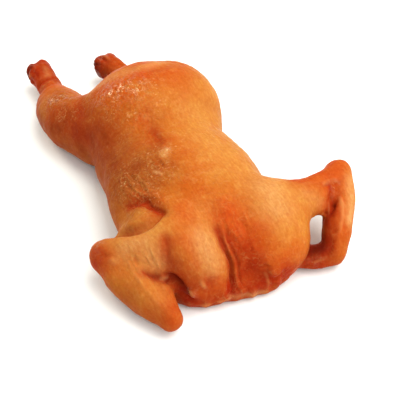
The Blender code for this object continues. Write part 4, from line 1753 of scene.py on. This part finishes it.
@dataclass(frozen=True)
class SmokedSkin:
    """Orange smoked skin with red joints, brown sides that are partly painted shade, painted shade
    in hollows and wrinkles, painted highlights and glints, pores and a satin gloss.
    """

    name: str = "smoked_skin"
    orange: Colour = (0.42, 0.087, 0.008, 1)
    bright: Colour = (0.45, 0.145, 0.020, 1)
    red: Colour = (0.41, 0.052, 0.007, 1)
    # yellow-orange of fat skin, also painted light on the sides towards the light
    gold: Colour = (0.52, 0.215, 0.044, 1)
    # cream flecks, partly painted glints
    cream: Colour = (0.68, 0.400, 0.170, 1)
    # fat on ridges and crests, partly a painted highlight
    fat: Colour = (0.58, 0.27, 0.08, 1)
    # brown-yellow over the armpit, also painted shade over the side of the back away from the light
    ochre: Colour = (0.35, 0.095, 0.014, 1)
    ruddy: Colour = (0.43, 0.056, 0.007, 1)
    # red-brown of smoke browning, also painted shade on the sides away from the light
    smoke: Colour = (0.21, 0.030, 0.005, 1)
    # deep red of cut ends and joints, also painted shade in folds and furrows
    flush: Colour = (0.27, 0.014, 0.003, 1)
    # pinkish pale of lifted skin, also painted highlight and sheen
    pale: Colour = (0.55, 0.265, 0.092, 1)
    # almost black red: painted shade at the bottom of hollows and crevices
    deep: Colour = (0.07, 0.004, 0.002, 1)
    # painted shade in pressed wrinkles
    wrinkle_shade: Colour = (0.27, 0.016, 0.003, 1)
    shade: Colour = (0.66, 0.38, 0.24, 1)  # multiplies the colour in the grain
    light: Colour = (1.12, 1.42, 1.55, 1)  # multiplies the colour in the streaks
    blotches: Speckle = Speckle(38, 4, 0.36, 0.66)
    red_spots: Speckle = Speckle(85, 4, 0.48, 0.70, 0.65)
    gold_spots: Speckle = Speckle(170, 4, 0.52, 0.70, 0.42)
    crest_gaps: Speckle = Speckle(130, 2, 0.44, 0.66, 0.36)
    streaks: Speckle = Speckle(700, 4, 0.46, 0.74, 0.8)
    grain: Speckle = Speckle(420, 5, 0.44, 0.74, 0.35)
    # cream flecks clustered on pored and wet skin, partly painted glints
    flecks: Speckle = Speckle(620, 3, 0.56, 0.74)
    clusters: Speckle = Speckle(75, 2, 0.44, 0.62, 0.7)
    fleck_base: float = 0.04  # flecks outside the clusters
    dull_spots: Speckle = Speckle(160, 3, 0.3, 0.7, 0.16)
    drops: Speckle = Speckle(260, 3, 0.46, 0.60)
    stain_noise: tuple[float, float] = (90, 4)  # waves per metre and detail
    stain_span: float = 0.34  # of the noise, from where a stain is thin to where it is full
    stain_loss: float = 0.3  # how much a stain loses where it is thin
    # each stain's tone, its colour and the noise below which it is thin, the lowest stain first;
    # several tones also carry painted light and shade
    stains: tuple[tuple[Tone, Colour, float], ...] = (
        (Tone.GOLD_AND_LIGHT, gold, 0.30),
        (Tone.OCHRE, ochre, 0.25),
        (Tone.RUDDY, ruddy, 0.30),
        (Tone.SMOKE, smoke, 0.34),
        (Tone.FLUSH, flush, 0.30),
        (Tone.PALE_AND_SHEEN, pale, 0.36),
    )
    # fat and painted highlight on the ridges, painted shade in the wrinkles and the deepest red of
    # painted shade in the hollows, and their shares
    marks: tuple[tuple[str, Colour, float], ...] = (
        (RAISED, fat, 0.4),
        (PRESSED, wrinkle_shade, 0.45),
        (Tone.HOLLOW_SHADE.value, deep, 0.85),
    )
    drawn_out: Row = (1.0, 0.22, 0.5)  # streaks run along the body
    crest_noise: tuple[float, float] = (200, 2)  # waves per metre and detail
    crest_width: float = 0.06  # of the noise, to each side of its middle
    crest_share: float = 0.7  # of the crests' height, on pored skin
    crest_fold: float = 0.5  # as much of that on folded skin
    crest_base: float = 0.2  # of the crests' height, everywhere
    roughness: float = 0.32
    wet_gloss: float = 0.27  # what fat takes off the roughness
    shine: float = 0.012
    tint: Colour = (1.0, 0.78, 0.50, 1)
    bleed: float = 0.4  # share of the light that goes through the skin
    bleed_colour: Row = (1.0, 0.25, 0.08)
    bleed_depth: float = 0.0035  # m
    pores_per_metre: float = 480.0
    pore_rim: tuple[float, float] = (0.55, 0.05)  # from a pore's edge to its top
    pore_base: float = 0.12  # of the pores' height, on plain skin
    fine_grain: tuple[float, float] = (700, 3)  # waves per metre and detail
    fine_grain_height: float = 0.4
    fine_streaks: tuple[float, float] = (330, 3)  # waves per metre and detail
    fine_streak_height: float = 0.5
    bump: float = 0.7
    bump_height: float = 0.0005  # m

    def material(self) -> bpy.types.Material:
        """Make the skin's material.

        Returns:
            The material, of plain nodes only.
        """
        material = bpy.data.materials.new(self.name)
        material.use_nodes = True
        nodes = Sockets(material)
        shader = nodes.tree.nodes["Principled BSDF"]
        place = nodes.add("ShaderNodeTexCoord").outputs["Object"]
        nodes.link(self.colour(nodes, place), shader.inputs["Base Color"])
        nodes.link(self.dullness(nodes, place), shader.inputs["Roughness"])
        nodes.link(self.relief(nodes, place), shader.inputs["Normal"])
        shader.inputs["Subsurface Weight"].default_value = self.bleed
        shader.inputs["Subsurface Radius"].default_value = self.bleed_colour
        shader.inputs["Subsurface Scale"].default_value = self.bleed_depth
        wet = nodes.times(nodes.value(Tone.WET.value), nodes.speckle(place, self.drops))
        nodes.link(nodes.plus(wet, self.shine), shader.inputs["Specular IOR Level"])
        shader.inputs["Specular Tint"].default_value = self.tint
        return material

    def colour(self, nodes: Sockets, place: Socket) -> Socket:
        """Colour the skin: blotchy orange under the stains and painted light and shade, flecked by
        its pores and by painted glints.

        Args:
            nodes: the material's nodes.
            place: the place on the skin.

        Returns:
            The colour.
        """
        base = nodes.mix(nodes.speckle(place, self.blotches), self.orange, self.bright)
        base = nodes.mix(nodes.speckle(place, self.red_spots), base, self.red)
        base = nodes.mix(nodes.speckle(place, self.gold_spots), base, self.gold)
        for tone, colour, low in self.stains:
            thin = Speckle(*self.stain_noise, low, low + self.stain_span, self.stain_loss)
            patchy = nodes.plus(nodes.speckle(place, thin), 1 - self.stain_loss)
            base = nodes.mix(nodes.times(nodes.value(tone.value), patchy), base, colour)
        # crests lightened towards fat, partly a painted highlight
        crest = nodes.times(self.crests(nodes, place), nodes.speckle(place, self.crest_gaps))
        base = nodes.mix(crest, base, self.fat)
        streak = nodes.speckle(nodes.stretched(place, self.drawn_out), self.streaks)
        base = nodes.mix(streak, base, self.light, "MULTIPLY")
        base = nodes.mix(nodes.speckle(place, self.grain), base, self.shade, "MULTIPLY")
        # cream flecks on pored and wet skin, partly painted glints
        goose = nodes.plus(nodes.value(Tone.GOOSE.value), nodes.value(Tone.WET.value))
        goose = nodes.times(goose, nodes.speckle(place, self.clusters))
        goose = nodes.plus(goose, self.fleck_base)
        base = nodes.mix(nodes.times(nodes.speckle(place, self.flecks), goose), base, self.cream)
        # fat and painted highlight on ridges, painted shade in wrinkles and hollows
        for name, colour, share in self.marks:
            base = nodes.mix(nodes.times(nodes.value(name), share), base, colour)
        return base

    def crests(self, nodes: Sockets, place: Socket) -> Socket:
        """Run thin winding crests over the skin: low everywhere, highest on pored skin.

        Args:
            nodes: the material's nodes.
            place: the place on the skin.

        Returns:
            How high the crests are, 0 between them.
        """
        level = nodes.maths("SUBTRACT", nodes.noise(place, *self.crest_noise), 0.5)
        crest = nodes.ramp(nodes.maths("ABSOLUTE", level, 0.0), self.crest_width, 0.0)
        fold = nodes.times(nodes.value(Tone.FOLD.value), self.crest_fold)
        rough = nodes.times(nodes.plus(nodes.value(Tone.GOOSE.value), fold), self.crest_share)
        return nodes.times(crest, nodes.plus(rough, self.crest_base))

    def dullness(self, nodes: Sockets, place: Socket) -> Socket:
        """Make the skin satin, smoother where fat has run.

        Args:
            nodes: the material's nodes.
            place: the place on the skin.

        Returns:
            The roughness.
        """
        plain = nodes.plus(nodes.speckle(place, self.dull_spots), self.roughness)
        wet = nodes.times(nodes.value(Tone.WET.value), self.wet_gloss)
        return nodes.maths("SUBTRACT", plain, wet)

    def relief(self, nodes: Sockets, place: Socket) -> Socket:
        """Raise the crests, the smallest pores and the fine grain of the skin.

        Args:
            nodes: the material's nodes.
            place: the place on the skin.

        Returns:
            The way that the bumped skin faces.
        """
        pore = nodes.add("ShaderNodeTexVoronoi", _Scale=self.pores_per_metre)
        nodes.link(place, pore.inputs["Vector"])
        dots = nodes.ramp(pore.outputs["Distance"], *self.pore_rim)
        dots = nodes.times(dots, nodes.plus(nodes.value(Tone.GOOSE.value), self.pore_base))
        grain = nodes.times(nodes.noise(place, *self.fine_grain), self.fine_grain_height)
        drawn = nodes.stretched(place, self.drawn_out)
        streaks = nodes.times(nodes.noise(drawn, *self.fine_streaks), self.fine_streak_height)
        height = nodes.plus(dots, self.crests(nodes, place))
        height = nodes.plus(nodes.plus(height, grain), streaks)
        bump = nodes.add("ShaderNodeBump", _Strength=self.bump, _Distance=self.bump_height)
        nodes.link(height, bump.inputs["Height"])
        return bump.outputs["Normal"]


@dataclass(frozen=True)
class Lamp:
    """Square soft light that faces the bird."""

    name: str
    place: Row  # mm, in the bird's own place
    size: float  # m
    watts: float
    colour: Row


@dataclass
class Studio:
    """Pale floor, soft lights and the camera."""

    offset: Points
    turn: float = -28.0  # degrees
    rise: float = 42.0  # degrees above the floor
    distance: float = 665.0  # mm
    target: Row = (10.0, -39.0, 20.0)  # mm, in the bird's own place
    lens: float = 81.0  # mm
    sensor: float = 36.0  # mm
    nearest: float = 0.01  # m, where the camera's view starts
    floor_size: float = 6.0  # m
    floor_drop: float = 0.0002  # m, so that the floor doesn't flicker through the breast
    floor_colour: Colour = (0.93, 0.98, 0.99, 1)
    floor_roughness: float = 0.9
    floor_shine: float = 0.1
    lamp_target: Row = (0, 0, 20)  # mm, in the bird's own place
    surroundings_light: float = 0.55
    lamps: tuple[Lamp, ...] = (
        Lamp("key", (760, -280, 1860), 1.9, 41.0, (1, 0.97, 0.92)),
        Lamp("front", (300, -1500, 1150), 1.7, 23.0, (1, 0.96, 0.90)),
        Lamp("fill", (-1200, -500, 1100), 1.6, 3.0, (1, 0.96, 0.90)),
        Lamp("back", (-430, 1260, 900), 0.45, 9.0, (1, 0.88, 0.66)),
    )

    def spot(self, place: Row) -> Vector:
        """Return a place given in the bird's millimetres as metres in the scene."""
        return Vector((np.array(place) + self.offset) * MILLIMETRE)

    def build(self) -> None:
        """Make everything that stands round the bird."""
        self.surroundings()
        self.floor()
        for lamp in self.lamps:
            self.light(lamp)
        self.camera()

    def surroundings(self) -> None:
        """Give the scene its even pale surroundings and plain colour handling."""
        world = bpy.data.worlds.new("studio")
        world.use_nodes = True
        shader = world.node_tree.nodes["Background"]
        shader.inputs["Color"].default_value = (1, 1, 1, 1)
        shader.inputs["Strength"].default_value = self.surroundings_light
        bpy.context.scene.world = world
        bpy.context.scene.view_settings.view_transform = "Standard"

    def floor(self) -> None:
        """Make the plain pale floor."""
        mesh = bpy.data.meshes.new("floor")
        half = self.floor_size / 2
        corners = [(-half, -half, 0), (half, -half, 0), (half, half, 0), (-half, half, 0)]
        mesh.from_pydata(corners, [], [(0, 1, 2, 3)])
        item = bpy.data.objects.new("floor", mesh)
        item.location.z = -self.floor_drop
        material = bpy.data.materials.new("pale_floor")
        material.use_nodes = True
        shader = material.node_tree.nodes["Principled BSDF"]
        shader.inputs["Base Color"].default_value = self.floor_colour
        shader.inputs["Roughness"].default_value = self.floor_roughness
        shader.inputs["Specular IOR Level"].default_value = self.floor_shine
        mesh.materials.append(material)
        bpy.context.scene.collection.objects.link(item)

    def light(self, lamp: Lamp) -> None:
        """Add a light.

        Args:
            lamp: its name, place, size, power and colour.
        """
        light = bpy.data.lights.new(lamp.name, "AREA")
        light.shape = "SQUARE"
        light.size = lamp.size
        light.energy = lamp.watts
        light.color = lamp.colour
        item = bpy.data.objects.new(lamp.name, light)
        item.location = self.spot(lamp.place)
        aim = item.location - self.spot(self.lamp_target)
        item.rotation_euler = aim.to_track_quat("Z", "Y").to_euler()
        bpy.context.scene.collection.objects.link(item)

    def camera(self) -> None:
        """Make the camera and use it."""
        lens = bpy.data.cameras.new("camera")
        lens.lens = self.lens
        lens.sensor_width = self.sensor
        lens.clip_start = self.nearest
        turn, rise = np.radians((self.turn, self.rise))
        back = Vector((np.sin(turn) * np.cos(rise), -np.cos(turn) * np.cos(rise), np.sin(rise)))
        item = bpy.data.objects.new("camera", lens)
        item.location = self.spot(self.target) + back * self.distance * MILLIMETRE
        item.rotation_euler = back.to_track_quat("Z", "Y").to_euler()
        bpy.context.scene.collection.objects.link(item)
        bpy.context.scene.camera = item


def main() -> None:
    """Build the bird on its frame and the studio round it."""
    logging.basicConfig(level=logging.INFO, format="%(message)s")
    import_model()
    parts = [Torso(), right_leg(), left_leg(), right_wing(), left_wing()]
    for part in parts:
        counts = (len(part.forms()), len(part.fine_lines()))
        LOG.info("%s: %d forms, %d fine lines", part.name, *counts)
    skin = Skin(Flesh(parts))
    chicken = skin.build()
    chicken.data.materials.append(SmokedSkin().material())
    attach(chicken, BODY)
    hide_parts(NODE)
    LOG.info("%s: %d faces", chicken.name, len(chicken.data.polygons))
    Studio(skin.offset).build()
    LOG.info("studio: floor, lights and camera")
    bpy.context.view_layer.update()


if __name__ == "__main__":
    main()
